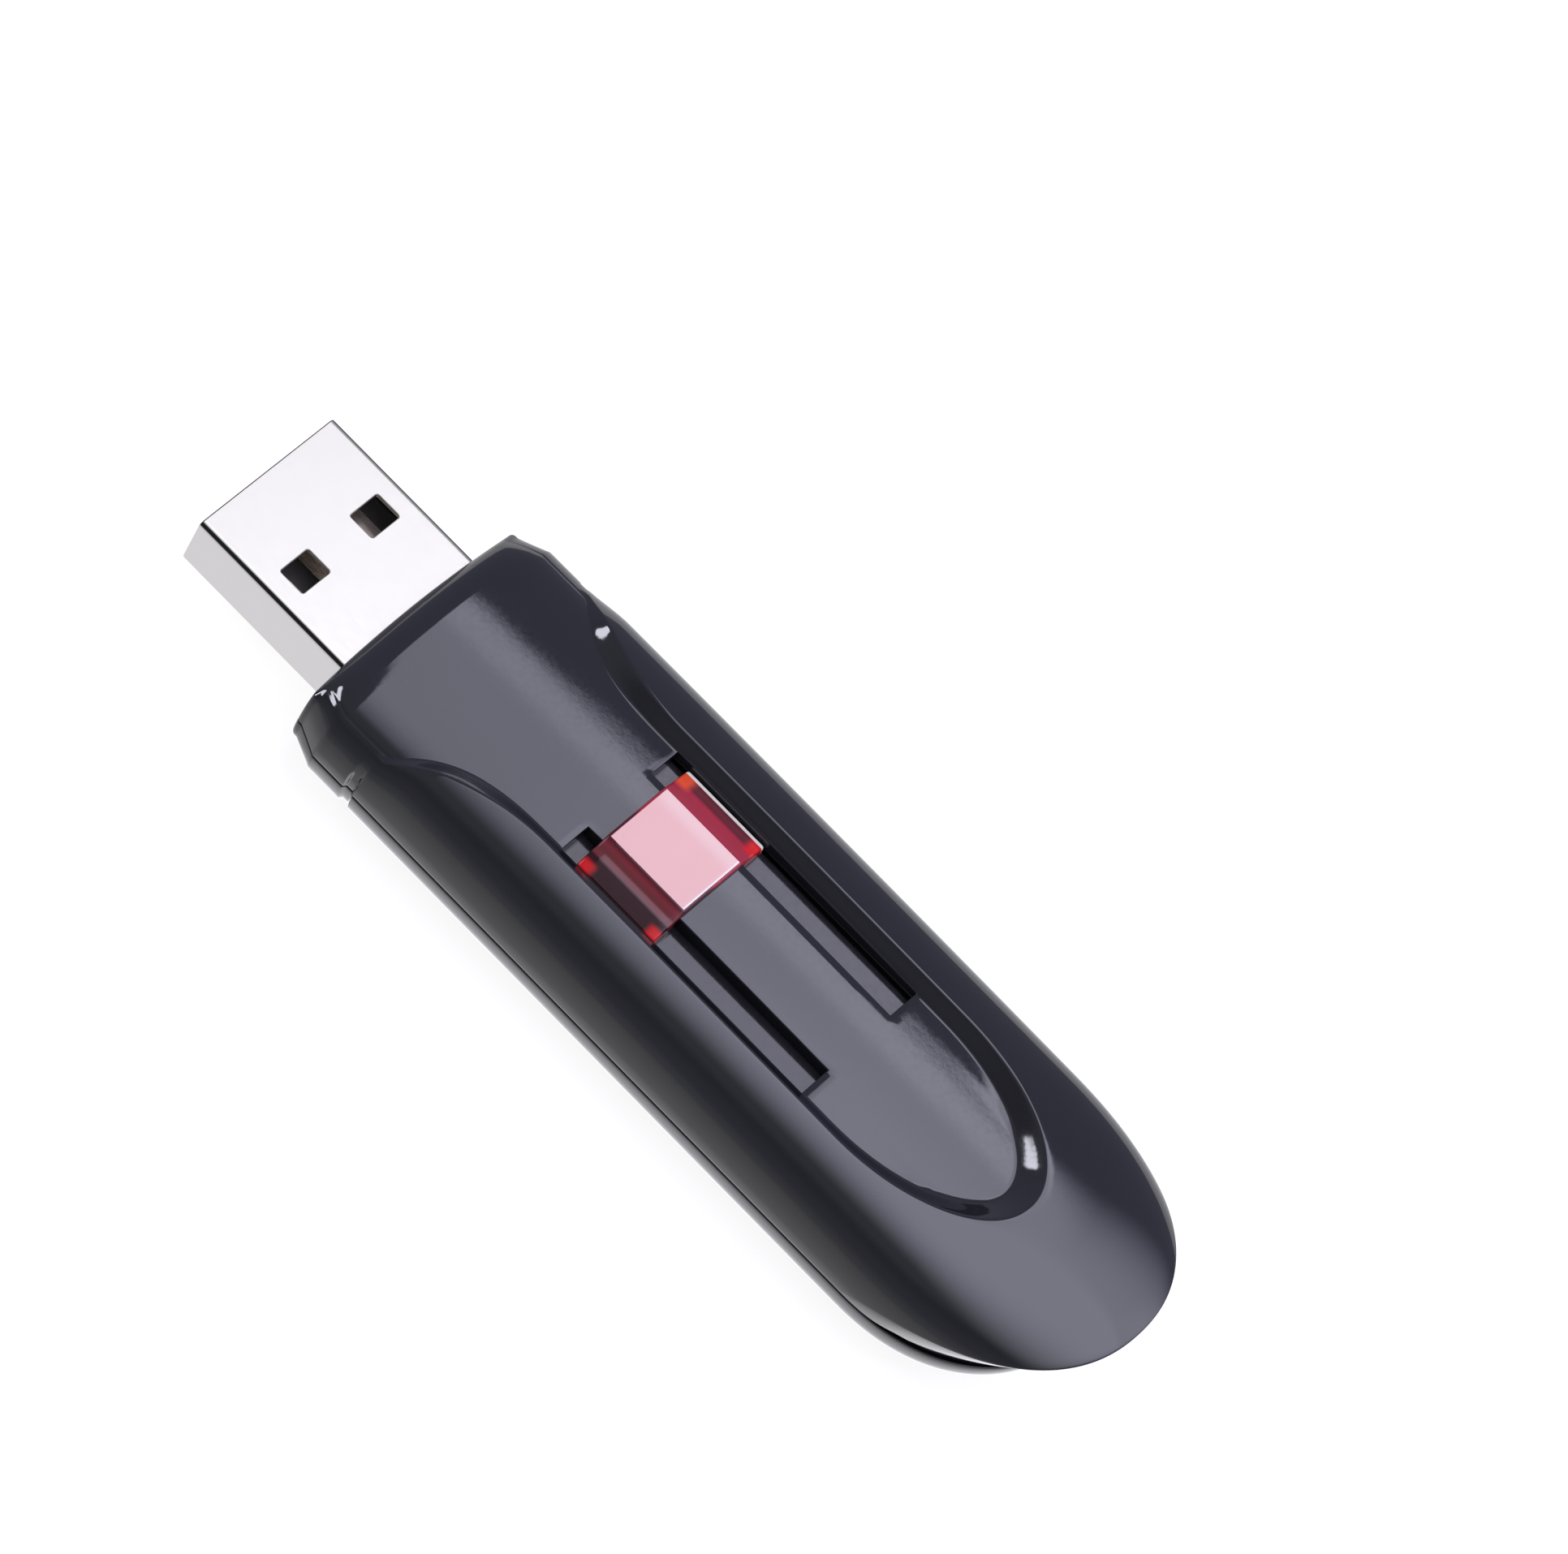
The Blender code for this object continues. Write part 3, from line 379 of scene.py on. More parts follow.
class Ray:
    """A line from the middle of the housing to its edge: across it, or fanned round the tail."""

    def __init__(self, s=TAIL_START, angle=math.pi / 2):
        self.s = s
        self.along = math.cos(angle) ** (2 / TAIL_POWER) if angle < math.pi / 2 - 1e-6 else 0.0
        self.across = math.sin(angle) ** (2 / TAIL_POWER) if angle > 1e-6 else 0.0

    def place(self, radius, length=TOP_LENGTH, half=None):
        half = half_width(self.s) if half is None else half
        return self.s + length * self.along * radius, half * self.across * radius

    def crease_radius(self):
        """The radius at which the crease cuts the upper surface."""
        grown = (self.along * TOP_LENGTH / CREASE_LENGTH) ** TAIL_POWER
        return (grown + self.across ** TAIL_POWER) ** (-1 / TAIL_POWER)

    def recess_radius(self, is_floor):
        """The radius at which the ray leaves the recess."""
        def inside(radius):
            s, y = self.place(radius)
            return y < recess_half(s, is_floor) and s < (FLOOR_END if is_floor else CREST_END)
        return last_place(0.0, 1.0, inside)

    def rim_z(self):
        """Lower edge of the upper shell: it rises over the lanyard slot round the tail."""
        tail = self.along ** TAIL_POWER
        opened = smooth(*SLOT_OPENS, tail) * (1 - SLOT_NARROWING * smooth(*SLOT_NARROWS, tail))
        return SEAM_Z + SEAM_GAP + SLOT_GAP * opened

    def top_point(self, radius, is_floor=False):
        s, y = self.place(radius)
        return s, y, top_height(s, radius, is_floor)


def placed(s, y, z, side):
    """A point in the part's frame; near the mouth it follows the bowed front edge."""
    bowed = s + BOW * (y / HALF_WIDTH) ** 2 * max(0.0, 1 - s / BOW_REACH)
    y -= groove(s, z) if y > GROOVE_Y else 0.0
    return Vector((NOSE_X - bowed, side * y, z))


def side_radius(ray, low):
    """Where the upper surface starts above the seam: at the crease, or just over the rim."""
    start = ray.crease_radius()
    if ray.top_point(start)[2] > low:
        return start
    return last_place(0.5, start, lambda radius: ray.top_point(radius)[2] > low)


def top_outer_row(ray):
    """Points of the upper shell's outside, from the rim to the middle line."""
    low = ray.rim_z()
    start = side_radius(ray, low + RIM_STEP)
    crest, foot = ray.recess_radius(False), ray.recess_radius(True)
    edge = (*ray.place(1.0, SEAM_LENGTH), low)
    inward = (*ray.place(0.9, SEAM_LENGTH), low)
    first = math.acos(min(start ** (SECTION_POWER / 2), 1.0))
    last = math.acos(crest ** (SECTION_POWER / 2))
    angles = [first + (last - first) * i / SIDE_STEPS for i in range(SIDE_STEPS + 1)]
    side = [ray.top_point(math.cos(angle) ** (2 / SECTION_POWER)) for angle in angles]
    base = ray.top_point(foot, True)
    inner = foot * SLOT_INNER / FLOOR_HALF
    floor = ray.top_point(inner, True)
    row = rounded(inward, edge, side[0], SEAM_ROUND, ROUND_STEPS)
    row += rounded(edge, side[0], side[1], CREASE_ROUND, ROUND_STEPS)
    row += side[1:-1]
    row += rounded(side[-2], side[-1], base, CREST_ROUND, ROUND_STEPS)
    wall_low = away(base, side[-1], FOOT_ROUND)
    row += [mix(row[-1], wall_low, i / WALL_STEPS) for i in range(1, WALL_STEPS)]
    slot_outer = len(row)
    row += rounded(side[-1], base, floor, FOOT_ROUND, ROUND_STEPS)
    near = row[-1]
    row += [mix(near, floor, i / FLOOR_STEPS) for i in range(1, FLOOR_STEPS)]
    slot_inner = len(row)
    for i in range(BRIDGE_STEPS + 1):
        row.append(ray.top_point(inner * (1 - i / BRIDGE_STEPS), True))
    return row, slot_outer, slot_inner


def crown_drop(y, edge_y):
    """How much deeper than the superellipse the floor's even crown lies at y."""
    inner = min(y, CROWN_JOIN)
    flat = 1 - (1 - (inner / HALF_WIDTH) ** SECTION_POWER) ** (1 / SECTION_POWER)
    fade = 1 - smooth(CROWN_JOIN, edge_y, y) if y > CROWN_JOIN else 1.0
    return (inner * inner / (2 * CROWN_RADIUS) - FLOOR_RISE * flat) * fade


def settle_floor(ray, row, slot_outer):
    """Gives the middle of the floor an even crown, so that its reflections are clean."""
    settled = list(row)
    first = slot_outer + ROUND_STEPS
    edge_y = max(row[first][1], CROWN_JOIN + 0.01)
    for i in range(first, len(row)):
        s, y, _ = row[i]
        if ray.along < 1e-9:
            radius = y / half_width(s)
        else:
            radius = (s - TAIL_START) / (TOP_LENGTH * ray.along)
        settled[i] = (s, y, top_height(s, radius, True) - crown_drop(y, edge_y))
    return settled


def top_inner_row(ray, outer, fixed):
    """Points of the upper shell's inside, one for each outer point and in the same order."""
    in_channel = ray.s < CHANNEL_END
    half = CHANNEL_HALF if in_channel else INNER_HALF
    flat = CHANNEL_HALF if in_channel else INNER_FLAT
    top = CHANNEL_TOP if in_channel else CEILING_Z
    low = outer[0][2]
    row = []
    for i in range(fixed):
        share = i / (fixed - 1)
        radius = 1 + (flat / half - 1) * share ** 2
        s, y = ray.place(radius, INNER_TAIL, half)
        row.append((s, y, low + (top - low) * math.sin(share * math.pi / 2)))
    squeeze = min(1.0, (flat - INNER_MARGIN) / max(outer[fixed][1], 1e-6))
    row += [(s, y * squeeze, top) for s, y, _ in outer[fixed:]]
    return row


def steps(start, end, count):
    return [start + (end - start) * i / count for i in range(count)]


def stations():
    """Places along the drive: close where it curves, wide apart where it is straight."""
    lip = [LIP_LENGTH * (1 - math.cos(math.pi / 2 * i / 16)) for i in range(17)]
    before = [2.15, 2.35, CORNER_END, 2.9, 3.5, 4.2, CHANNEL_END - 0.005, CHANNEL_END]
    across_groove = steps(GROOVE_S - GROOVE_HALF, GROOVE_S + GROOVE_HALF, 12)
    flare = steps(GROOVE_S + GROOVE_HALF, 10.0, 12) + steps(10.0, FLARE_START, 16)
    straight = [SLOT_START - SLOT_ROUND, *steps(SLOT_START + 1, SLOT_END - 1, 12)]
    tail = steps(SLOT_END + SLOT_ROUND, TAIL_START, 14)
    return lip + before + across_groove + flare + [FLARE_START] + straight + tail


STATIONS = stations()


def rays():
    straight = [Ray(s) for s in STATIONS]
    return straight + [Ray(angle=math.pi / 2 * (1 - i / FAN_STEPS)) for i in range(FAN_STEPS + 1)]


def full_rows(rows):
    """Closes half rows over the middle line; the tail's rays come back up the other side."""
    straight = len(STATIONS) + 1
    whole = []
    for half in rows[:straight]:
        left = [placed(*p, 1) for p in half]
        right = [placed(*p, -1) for p in reversed(half[:-1])]
        whole.append(left + right)
    fan = [[placed(*p, 1) for p in half] for half in rows[straight:]]
    fan += [[placed(*p, -1) for p in half] for half in reversed(rows[straight:-1])]
    return whole, fan


def skin(bm, whole, fan, holes=()):
    """Faces of one surface. Returns the vertex rows of its straight part and of its fan."""
    grid = [[bm.verts.new(p) for p in row] for row in whole]
    half = len(whole[0]) // 2
    hub = grid[-1][half]
    spread = [grid[-1][:half + 1]]
    spread += [[bm.verts.new(p) for p in row[:-1]] + [hub] for row in fan]
    spread += [list(reversed(grid[-1][half:]))]
    for i in range(len(grid) - 1):
        for j in range(len(grid[0]) - 1):
            if (i, j) not in holes:
                bm.faces.new((grid[i][j], grid[i][j + 1], grid[i + 1][j + 1], grid[i + 1][j]))
    for a, b in zip(spread, spread[1:]):
        for j in range(half - 1):
            bm.faces.new((a[j], a[j + 1], b[j + 1], b[j]))
        bm.faces.new((a[half - 1], hub, b[half - 1]))
    return grid, spread


def bridge(bm, outer, inner):
    for a, b, c, d in zip(outer, outer[1:], inner[1:], inner):
        bm.faces.new((a, b, c, d))


def join_rings(bm, rings):
    for a, b in zip(rings, rings[1:]):
        bridge(bm, a + a[:1], b + b[:1])


def closed_stack(bm, rings):
    """A closed solid from a stack of rings."""
    join_rings(bm, rings)
    bm.faces.new(rings[0])
    bm.faces.new(list(reversed(rings[-1])))


def close_shell(bm, outer, inner):
    """Joins the outside to the inside along the seam and round the mouth."""
    (grid_a, fan_a), (grid_b, fan_b) = outer, inner
    for edge in (0, -1):
        bridge(bm, [row[edge] for row in grid_a], [row[edge] for row in grid_b])
    bridge(bm, [row[0] for row in fan_a], [row[0] for row in fan_b])
    bridge(bm, grid_a[0], grid_b[0])


def slot_holes(columns, slot_outer, slot_inner):
    """The grid cells that the two slots leave open, and their outlines."""
    first = min(range(len(STATIONS)), key=lambda i: abs(STATIONS[i] - SLOT_START))
    last = min(range(len(STATIONS)), key=lambda i: abs(STATIONS[i] - SLOT_END))
    holes, outlines = set(), []
    for a, b in ((slot_outer, slot_inner), (columns - 1 - slot_inner, columns - 1 - slot_outer)):
        holes |= {(i, j) for i in range(first, last) for j in range(a, b)}
        loop = [(i, a) for i in range(first, last)] + [(last, j) for j in range(a, b)]
        loop += [(i, b) for i in range(last, first, -1)] + [(first, j) for j in range(b, a, -1)]
        outlines.append(loop)
    return holes, outlines


def sink_slot(bm, outer, inner, loop):
    """Walls of a slot: a small rounding at the top, then straight down to the inside."""
    rim = [outer[i][j] for i, j in loop]
    low = [inner[i][j] for i, j in loop]
    xs, ys = [v.co.x for v in rim], [v.co.y for v in rim]
    rings = [rim]
    for turn in (30, 60, 90):
        side, drop = math.sin(math.radians(turn)), 1 - math.cos(math.radians(turn))
        ring = []
        for v in rim:
            point = v.co.copy()
            if v.co.x > max(xs) - TINY or v.co.x < min(xs) + TINY:
                point.x += SLOT_ROUND * side * (-1 if v.co.x > max(xs) - TINY else 1)
            if v.co.y > max(ys) - TINY or v.co.y < min(ys) + TINY:
                point.y += SLOT_ROUND * side * (-1 if v.co.y > max(ys) - TINY else 1)
            point.z -= SLOT_ROUND * drop
            ring.append(bm.verts.new(point))
        rings.append(ring)
    for v, wall in zip(low, rings[-1]):
        v.co.x, v.co.y = wall.co.x, wall.co.y
    rings.append(low)
    join_rings(bm, rings)


def upper_housing(finish):
    made = [top_outer_row(ray) for ray in rays()]
    slot_outer, slot_inner = made[0][1:]
    outer_rows = [settle_floor(ray, row[0], slot_outer) for ray, row in zip(rays(), made)]
    inner_rows = [top_inner_row(ray, row, slot_outer) for ray, row in zip(rays(), outer_rows)]
    whole, fan = full_rows(outer_rows)
    holes, outlines = slot_holes(len(whole[0]), slot_outer, slot_inner)
    bm = bmesh.new()
    outer = skin(bm, whole, fan, holes)
    inner = skin(bm, *full_rows(inner_rows), holes)
    close_shell(bm, outer, inner)
    for loop in outlines:
        sink_slot(bm, outer[0], inner[0], loop)
    tabs = bmesh.new()
    for s in TAB_S:
        add_pair(tabs, (s - TAB_LONG / 2, s + TAB_LONG / 2), TAB_Y, TAB_Z, RIB_ROUND)
    bm = combined(bm, tabs)
    return piece_from(bm, "upper_housing", "housing", [finish], ["top_shell"])


# ---------------------------------------------------------------- lower shell


def bottom_outer_row(ray):
    """Points of the lower shell's outside, from the seam to the middle line."""
    top = SEAM_Z - SEAM_GAP
    side = []
    for i in range(1, SIDE_STEPS + 1):
        angle = math.pi / 2 * i / SIDE_STEPS
        radius = max(math.cos(angle), 0.0) ** (2 / LOWER_POWER) if i < SIDE_STEPS else 0.0
        shape = max(1 - radius ** LOWER_POWER, 0.0) ** (1 / LOWER_POWER)
        z = max(SEAM_Z - (SEAM_Z + UNDERSIDE_CUT) * shape, 0.0)
        side.append((*ray.place(radius, SEAM_LENGTH), z))
    edge = (*ray.place(1.0, SEAM_LENGTH), top)
    inward = (*ray.place(0.9, SEAM_LENGTH), top)
    return rounded(inward, edge, side[0], SEAM_ROUND, ROUND_STEPS) + side


def bottom_inner_row(ray, outer):
    """Points of the lower shell's inside: down its wall, then across its floor."""
    in_channel = ray.s < CHANNEL_END
    half, low = (CHANNEL_HALF, CHANNEL_LOW) if in_channel else (INNER_HALF, FLOOR_Z)
    foot = CHANNEL_FOOT if in_channel else INNER_FOOT
    top = outer[0][2]
    wall = len(outer) // 2
    row = []
    for i in range(len(outer)):
        if i <= wall:
            turn = math.pi / 2 * i / wall
            radius = foot + (1 - foot) * math.cos(turn) ** 0.5
            z = top + (low - top) * math.sin(turn) ** 1.2
        else:
            radius = foot * (1 - (i - wall) / (len(outer) - 1 - wall))
            z = low
        row.append((*ray.place(radius, INNER_TAIL, half), z))
    return row


def lower_housing(finish):
    outer_rows = [bottom_outer_row(ray) for ray in rays()]
    inner_rows = [bottom_inner_row(ray, row) for ray, row in zip(rays(), outer_rows)]
    bm = bmesh.new()
    outer = skin(bm, *full_rows(outer_rows))
    inner = skin(bm, *full_rows(inner_rows))
    close_shell(bm, outer, inner)
    rooted = FLOOR_Z - ROOT
    ribs = bmesh.new()
    add_pair(ribs, GUIDE_S, GUIDE_Y, (rooted, GUIDE_HIGH), RIB_ROUND)
    add_box(ribs, STOP_S, (-STOP_HALF, STOP_HALF), (rooted, STOP_HIGH), RIB_ROUND)
    made = bmesh.ops.create_cone(ribs, cap_ends=True, segments=48, radius1=POST_RADIUS,
                                 radius2=POST_RADIUS, depth=POST_HIGH - rooted)["verts"]
    middle = Vector((NOSE_X - POST_S, 0, (rooted + POST_HIGH) / 2))
    bmesh.ops.translate(ribs, vec=middle, verts=made)
    bm = combined(bm, ribs)
    return piece_from(bm, "lower_housing", "housing", [finish], ["bottom_shell"])


# ---------------------------------------------------------------- plug and slider


def plug_ring(s, inset):
    """A rounded rectangle across the plug, set in from its outside."""
    middle = (PLUG_LOW + PLUG_HIGH) / 2
    half_y, half_z = PLUG_HIGH.y - inset, (PLUG_HIGH.z - PLUG_LOW.z) / 2 - inset
    radius = max(PLUG_CORNER - inset, 0.15)
    ring = []
    for corner in range(4):
        cy = (half_y - radius) * (1 if corner in (0, 3) else -1)
        cz = (half_z - radius) * (1 if corner < 2 else -1)
        for i in range(CORNER_STEPS + 1):
            angle = math.pi / 2 * (corner + i / CORNER_STEPS)
            y, z = cy + radius * math.cos(angle), cz + radius * math.sin(angle)
            ring.append(Vector((NOSE_X - s, y, middle.z + z)))
    return ring


def plug_jacket(finish):
    """The plug's folded metal shell, with rounded rim, four windows and the seam underneath."""
    front = NOSE_X - PLUG_HIGH.x
    section = [(front + PLUG_RIM, 0.0), (front + 0.3 * PLUG_RIM, 0.2 * PLUG_RIM), (front, PLUG_RIM),
               (front, PLUG_WALL - PLUG_LIP), (front + PLUG_LIP, PLUG_WALL), (PLUG_REAR_S, PLUG_WALL),
               (PLUG_REAR_S, 0.0)]
    bm = bmesh.new()
    loops = [[bm.verts.new(p) for p in plug_ring(*station)] for station in section]
    for a, b in zip(loops, loops[1:] + loops[:1]):
        for i, j in zip(range(len(a)), [*range(1, len(a)), 0]):
            bm.faces.new((a[i], a[j], b[j], b[i]))
    tabs = bmesh.new()
    add_pair(tabs, (PLUG_REAR_S - PLUG_TAB_ROOT, PLUG_TAB_REAR), PLUG_TAB_Y, PLUG_TAB_Z,
             PLUG_TAB_ROUND)
    bm = combined(bm, tabs)
    cuts = bmesh.new()
    start = front + WINDOW_FRONT
    for side in (-1, 1):
        for z in (PLUG_LOW.z, PLUG_HIGH.z):
            y = (side * WINDOW_Y - WINDOW_WIDE / 2, side * WINDOW_Y + WINDOW_WIDE / 2)
            add_window(cuts, (start, start + WINDOW_LONG), y, z)
    add_box(cuts, (front - 1, PLUG_REAR_S + 1), (-SEAM_HALF, SEAM_HALF),
            (PLUG_LOW.z - 1, PLUG_LOW.z + SEAM_DEPTH))
    bm = combined(bm, cuts, "DIFFERENCE")
    return piece_from(bm, "plug_jacket", "sled", [finish], ["plug_shell"],
                      weighted=True)


def add_window(bm, s, y, z):
    """A cutter for a window with rounded corners whose rim is eased at the outside."""
    side = 1 if z == PLUG_HIGH.z else -1
    rings = []
    for depth, grow in WINDOW_CUT:
        ring = []
        for corner in range(4):
            sign_x, sign_y = (1, -1, -1, 1)[corner], (1, 1, -1, -1)[corner]
            cx = NOSE_X - (s[0] + s[1]) / 2 + sign_x * ((s[1] - s[0]) / 2 - WINDOW_CORNER)
            cy = (y[0] + y[1]) / 2 + sign_y * ((y[1] - y[0]) / 2 - WINDOW_CORNER)
            for i in range(WINDOW_STEPS + 1):
                angle = math.pi / 2 * (corner + i / WINDOW_STEPS)
                reach = WINDOW_CORNER + grow
                ring.append(bm.verts.new((cx + reach * math.cos(angle),
                                          cy + reach * math.sin(angle), z - side * depth)))
        rings.append(ring)
    closed_stack(bm, rings)


def slider_outline(shrink):
    """Outline of the slider across the drive, with rounded corners."""
    inner, outer = SLIDER_LEG[0] + shrink, SLIDER_LEG[1] - shrink
    corners = [(y - shrink, z - shrink * SHRINK_Z) for y, z in SLIDER_FLANK]
    corners += [(outer, FLANK_FOOT_Z), (outer, SLIDER_LEG_LOW), (inner, SLIDER_LEG_LOW),
                (inner, SLIDER_UNDER)]
    half = [(0.0, SLIDER_TOP - shrink * SHRINK_Z)]
    chain = half + corners + [(0.0, SLIDER_UNDER)]
    for before, corner, after in zip(chain, chain[1:], chain[2:]):
        half += rounded(before, corner, after, SLIDER_ROUND, ROUND_STEPS)
    half.append((0.0, SLIDER_UNDER))
    return half + [(-y, z) for y, z in reversed(half[1:-1])]


def thumb_slider(face, clear):
    """The slider: a pale flat face between clear flanks, on two legs with pins and hooks."""
    front, rear = NOSE_X - BUTTON_HIGH.x, NOSE_X - BUTTON_LOW.x
    end = SLIDER_ENDS[-1][0]
    stations = [(front + inward, shrink) for inward, shrink in SLIDER_ENDS]
    stations += [(front + end + (rear - front - 2 * end) * i / SLIDER_SPANS, 0.0)
                 for i in range(1, SLIDER_SPANS)]
    stations += [(rear - inward, shrink) for inward, shrink in reversed(SLIDER_ENDS)]
    bm = bmesh.new()
    rings = []
    for s, shrink in stations:
        rings.append([bm.verts.new((NOSE_X - s, y, z)) for y, z in slider_outline(shrink)])
    closed_stack(bm, rings)
    middle = (front + rear) / 2
    for half, y, z in ((PIN_S, PIN_Y, PIN_Z), (HOOK_S, HOOK_Y, HOOK_Z)):
        pair = bmesh.new()
        add_pair(pair, (middle - half, middle + half), y, z, PIN_ROUND)
        bm = combined(bm, pair)
    for made in bm.faces:
        where = made.calc_center_median()
        flat = made.normal.z > FLAT_NORMAL and where.z > SLIDER_TOP - FACE_DEPTH
        made.material_index = 0 if flat and abs(where.y) < SLIDER_FLANK[0][0] else 1
    return piece_from(bm, "thumb_slider", "sled", [face, clear], ["slider_button"],
                      weighted=True)


# ---------------------------------------------------------------- materials


class Nodes:
    """Short ways to add and link shader nodes."""

    def __init__(self, tree):
        self.tree = tree

    def add(self, kind, inputs=(), **settings):
        node = self.tree.nodes.new(kind)
        for name, value in settings.items():
            setattr(node, name, value)
        for name, value in dict(inputs).items():
            if isinstance(value, bpy.types.NodeSocket):
                self.tree.links.new(value, node.inputs[name])
            else:
                node.inputs[name].default_value = value
        return node

    def math(self, operation, a, b=0.0):
        return self.add("ShaderNodeMath", {0: a, 1: b}, operation=operation).outputs[0]

    def plus(self, a, b):
        return self.math("ADD", a, b)

    def minus(self, a, b):
        return self.math("SUBTRACT", a, b)

    def times(self, a, b):
        return self.math("MULTIPLY", a, b)

    def size(self, a):
        return self.math("ABSOLUTE", a)

    def split(self, vector):
        return self.add("ShaderNodeSeparateXYZ", {0: vector}).outputs

    def ramp(self, value, low, high, to_low=0.0, to_high=1.0, soft=True):
        """value from low..high to to_low..to_high, clamped."""
        node = self.add("ShaderNodeMapRange", {"Value": value, "From Min": low, "From Max": high,
                                               "To Min": to_low, "To Max": to_high})
        node.interpolation_type = "SMOOTHSTEP" if soft else "LINEAR"
        return node.outputs["Result"]

    def near(self, value, edge, depths):
        """1 from the second depth below an edge and up, 0 under the first."""
        return self.ramp(value, edge - depths[0], edge - depths[1])

    def blend(self, share, a, b):
        node = self.add("ShaderNodeMix", data_type="RGBA")
        for socket, value in ((node.inputs[0], share), (node.inputs[6], a), (node.inputs[7], b)):
            if isinstance(value, bpy.types.NodeSocket):
                self.tree.links.new(value, socket)
            else:
                socket.default_value = value
        return node.outputs[2]

    def position(self, stretch=(1, 1, 1)):
        """Object coordinates in millimetres, stretched along each axis."""
        coordinates = self.add("ShaderNodeTexCoord").outputs["Object"]
        scale = tuple(value / MM for value in stretch)
        return self.add("ShaderNodeMapping", {"Vector": coordinates, "Scale": scale}).outputs[0]

    def noise(self, vector, scale, detail=3.0, roughness=0.5):
        return self.add("ShaderNodeTexNoise", {"Vector": vector, "Scale": scale, "Detail": detail,
                                               "Roughness": roughness}).outputs[0]

    def bump(self, height, strength, distance):
        return self.add("ShaderNodeBump", {"Height": height, "Strength": strength,
                                           "Distance": distance}).outputs[0]


def cleared_nodes(owner):
    """Starts an empty shader for a world or a material."""
    owner.use_nodes = True
    owner.node_tree.nodes.clear()
    return Nodes(owner.node_tree)


def finish(name, colour, roughness, metallic=0.0, ior=1.5, colour_change=0.15, grain=1.0,
           stretch=(1, 1, 1), bump=0.02, rough_change=0.06, transmission=0.0, marks=None):
    """A Principled material whose colour, roughness and relief vary with noise.

    marks is a function that paints over the colour: it gets the nodes and the colour so far."""
    made = bpy.data.materials.new(name)
    made.use_nodes = True
    nodes = Nodes(made.node_tree)
    shader = made.node_tree.nodes["Principled BSDF"]
    place = nodes.position(stretch)
    coarse = nodes.noise(place, 0.25 * grain)
    fine = nodes.noise(place, 3.0 * grain, 4.0, 0.6)
    shade = tuple(value * (1 - colour_change) for value in colour)
    light = tuple(min(value * (1 + colour_change), 1.0) for value in colour)
    base = nodes.blend(coarse, (*shade, 1), (*light, 1))
    rough = nodes.ramp(fine, 0.3, 0.7, roughness - rough_change, roughness + rough_change, False)
    if marks:
        base = marks(nodes, base)
    links = made.node_tree.links
    links.new(base, shader.inputs["Base Color"])
    links.new(rough, shader.inputs["Roughness"])
    links.new(nodes.bump(fine, bump, 0.0001), shader.inputs["Normal"])
    shader.inputs["Metallic"].default_value = metallic
    shader.inputs["IOR"].default_value = ior
    shader.inputs["Transmission Weight"].default_value = transmission
    return made


def end_marks(colour, x_edge=None, y_edge=None):
    """Paints the ends of a node: edges are shares of its length or width, from the middle."""
    def marks(nodes, base):
        split = nodes.split(nodes.add("ShaderNodeTexCoord").outputs["Generated"])
        for axis, edge in (("X", x_edge), ("Y", y_edge)):
            if edge:
                off = nodes.size(nodes.minus(split[axis], 0.5))
                base = nodes.blend(nodes.ramp(off, edge - END_SOFT, edge + END_SOFT), base, colour)
        return base
    return marks


def trace_marks(nodes, base):
    """Paler copper traces under the solder mask, in groups along and across the board."""
    place = nodes.position()
    for direction, scale, group_scale in TRACES:
        lines = nodes.add("ShaderNodeTexWave", {"Vector": place, "Scale": scale},
                          bands_direction=direction).outputs["Fac"]
        group = nodes.ramp(nodes.noise(place, group_scale), *TRACE_GROUP)
        base = nodes.blend(nodes.times(nodes.ramp(lines, *TRACE_EDGE), group), base, TRACE_GREEN)
    return base


def painted_flank_light(nodes, base):
    """Painted light on the clear flanks: dark bands of painted shade, painted glow spots where light
    leaves at the corners, and a painted highlight line along the far edge.
    """
    split = nodes.split(nodes.position())
    out = nodes.size(split["Y"])
    far = nodes.ramp(split["Y"], FLANK_MIDDLE, -FLANK_MIDDLE)
    near = nodes.ramp(split["Y"], -FLANK_MIDDLE, FLANK_MIDDLE)
    # Painted shade: a dark band on the far flank, and dark red, brown and black bands on the near flank
    for side, edges, colour in ((far, (3.75, 4.1), FLANK_FAR_SHADE), (near, (3.2, 2.7), FLANK_EDGE_SHADE),
                                (near, (2.6, 3.3), FLANK_BROWN_SHADE), (near, (3.8, 4.0), FLANK_BLACK_SHADE)):
        base = nodes.blend(nodes.times(side, nodes.ramp(out, *edges)), base, colour)
    # Painted glow: orange and red spots at the front and rear corners
    for end, reach, colour in GLOW_SPOT_ENDS:
        close = nodes.ramp(split["X"], end + reach, end + reach * GLOW_SPOT_CORE)
        for side, edges, glow in ((far, GLOW_SPOT_FAR, colour), (near, GLOW_SPOT_NEAR, FLANK_RED_GLOW)):
            spot = nodes.times(close, nodes.ramp(out, *edges))
            base = nodes.blend(nodes.times(spot, side), base, glow)
    # Painted highlight: a pale line along the far flank's edge
    return nodes.blend(nodes.times(nodes.ramp(out, *HIGHLIGHT_LINE_EDGES), far), base, FLANK_HIGHLIGHT_LINE)


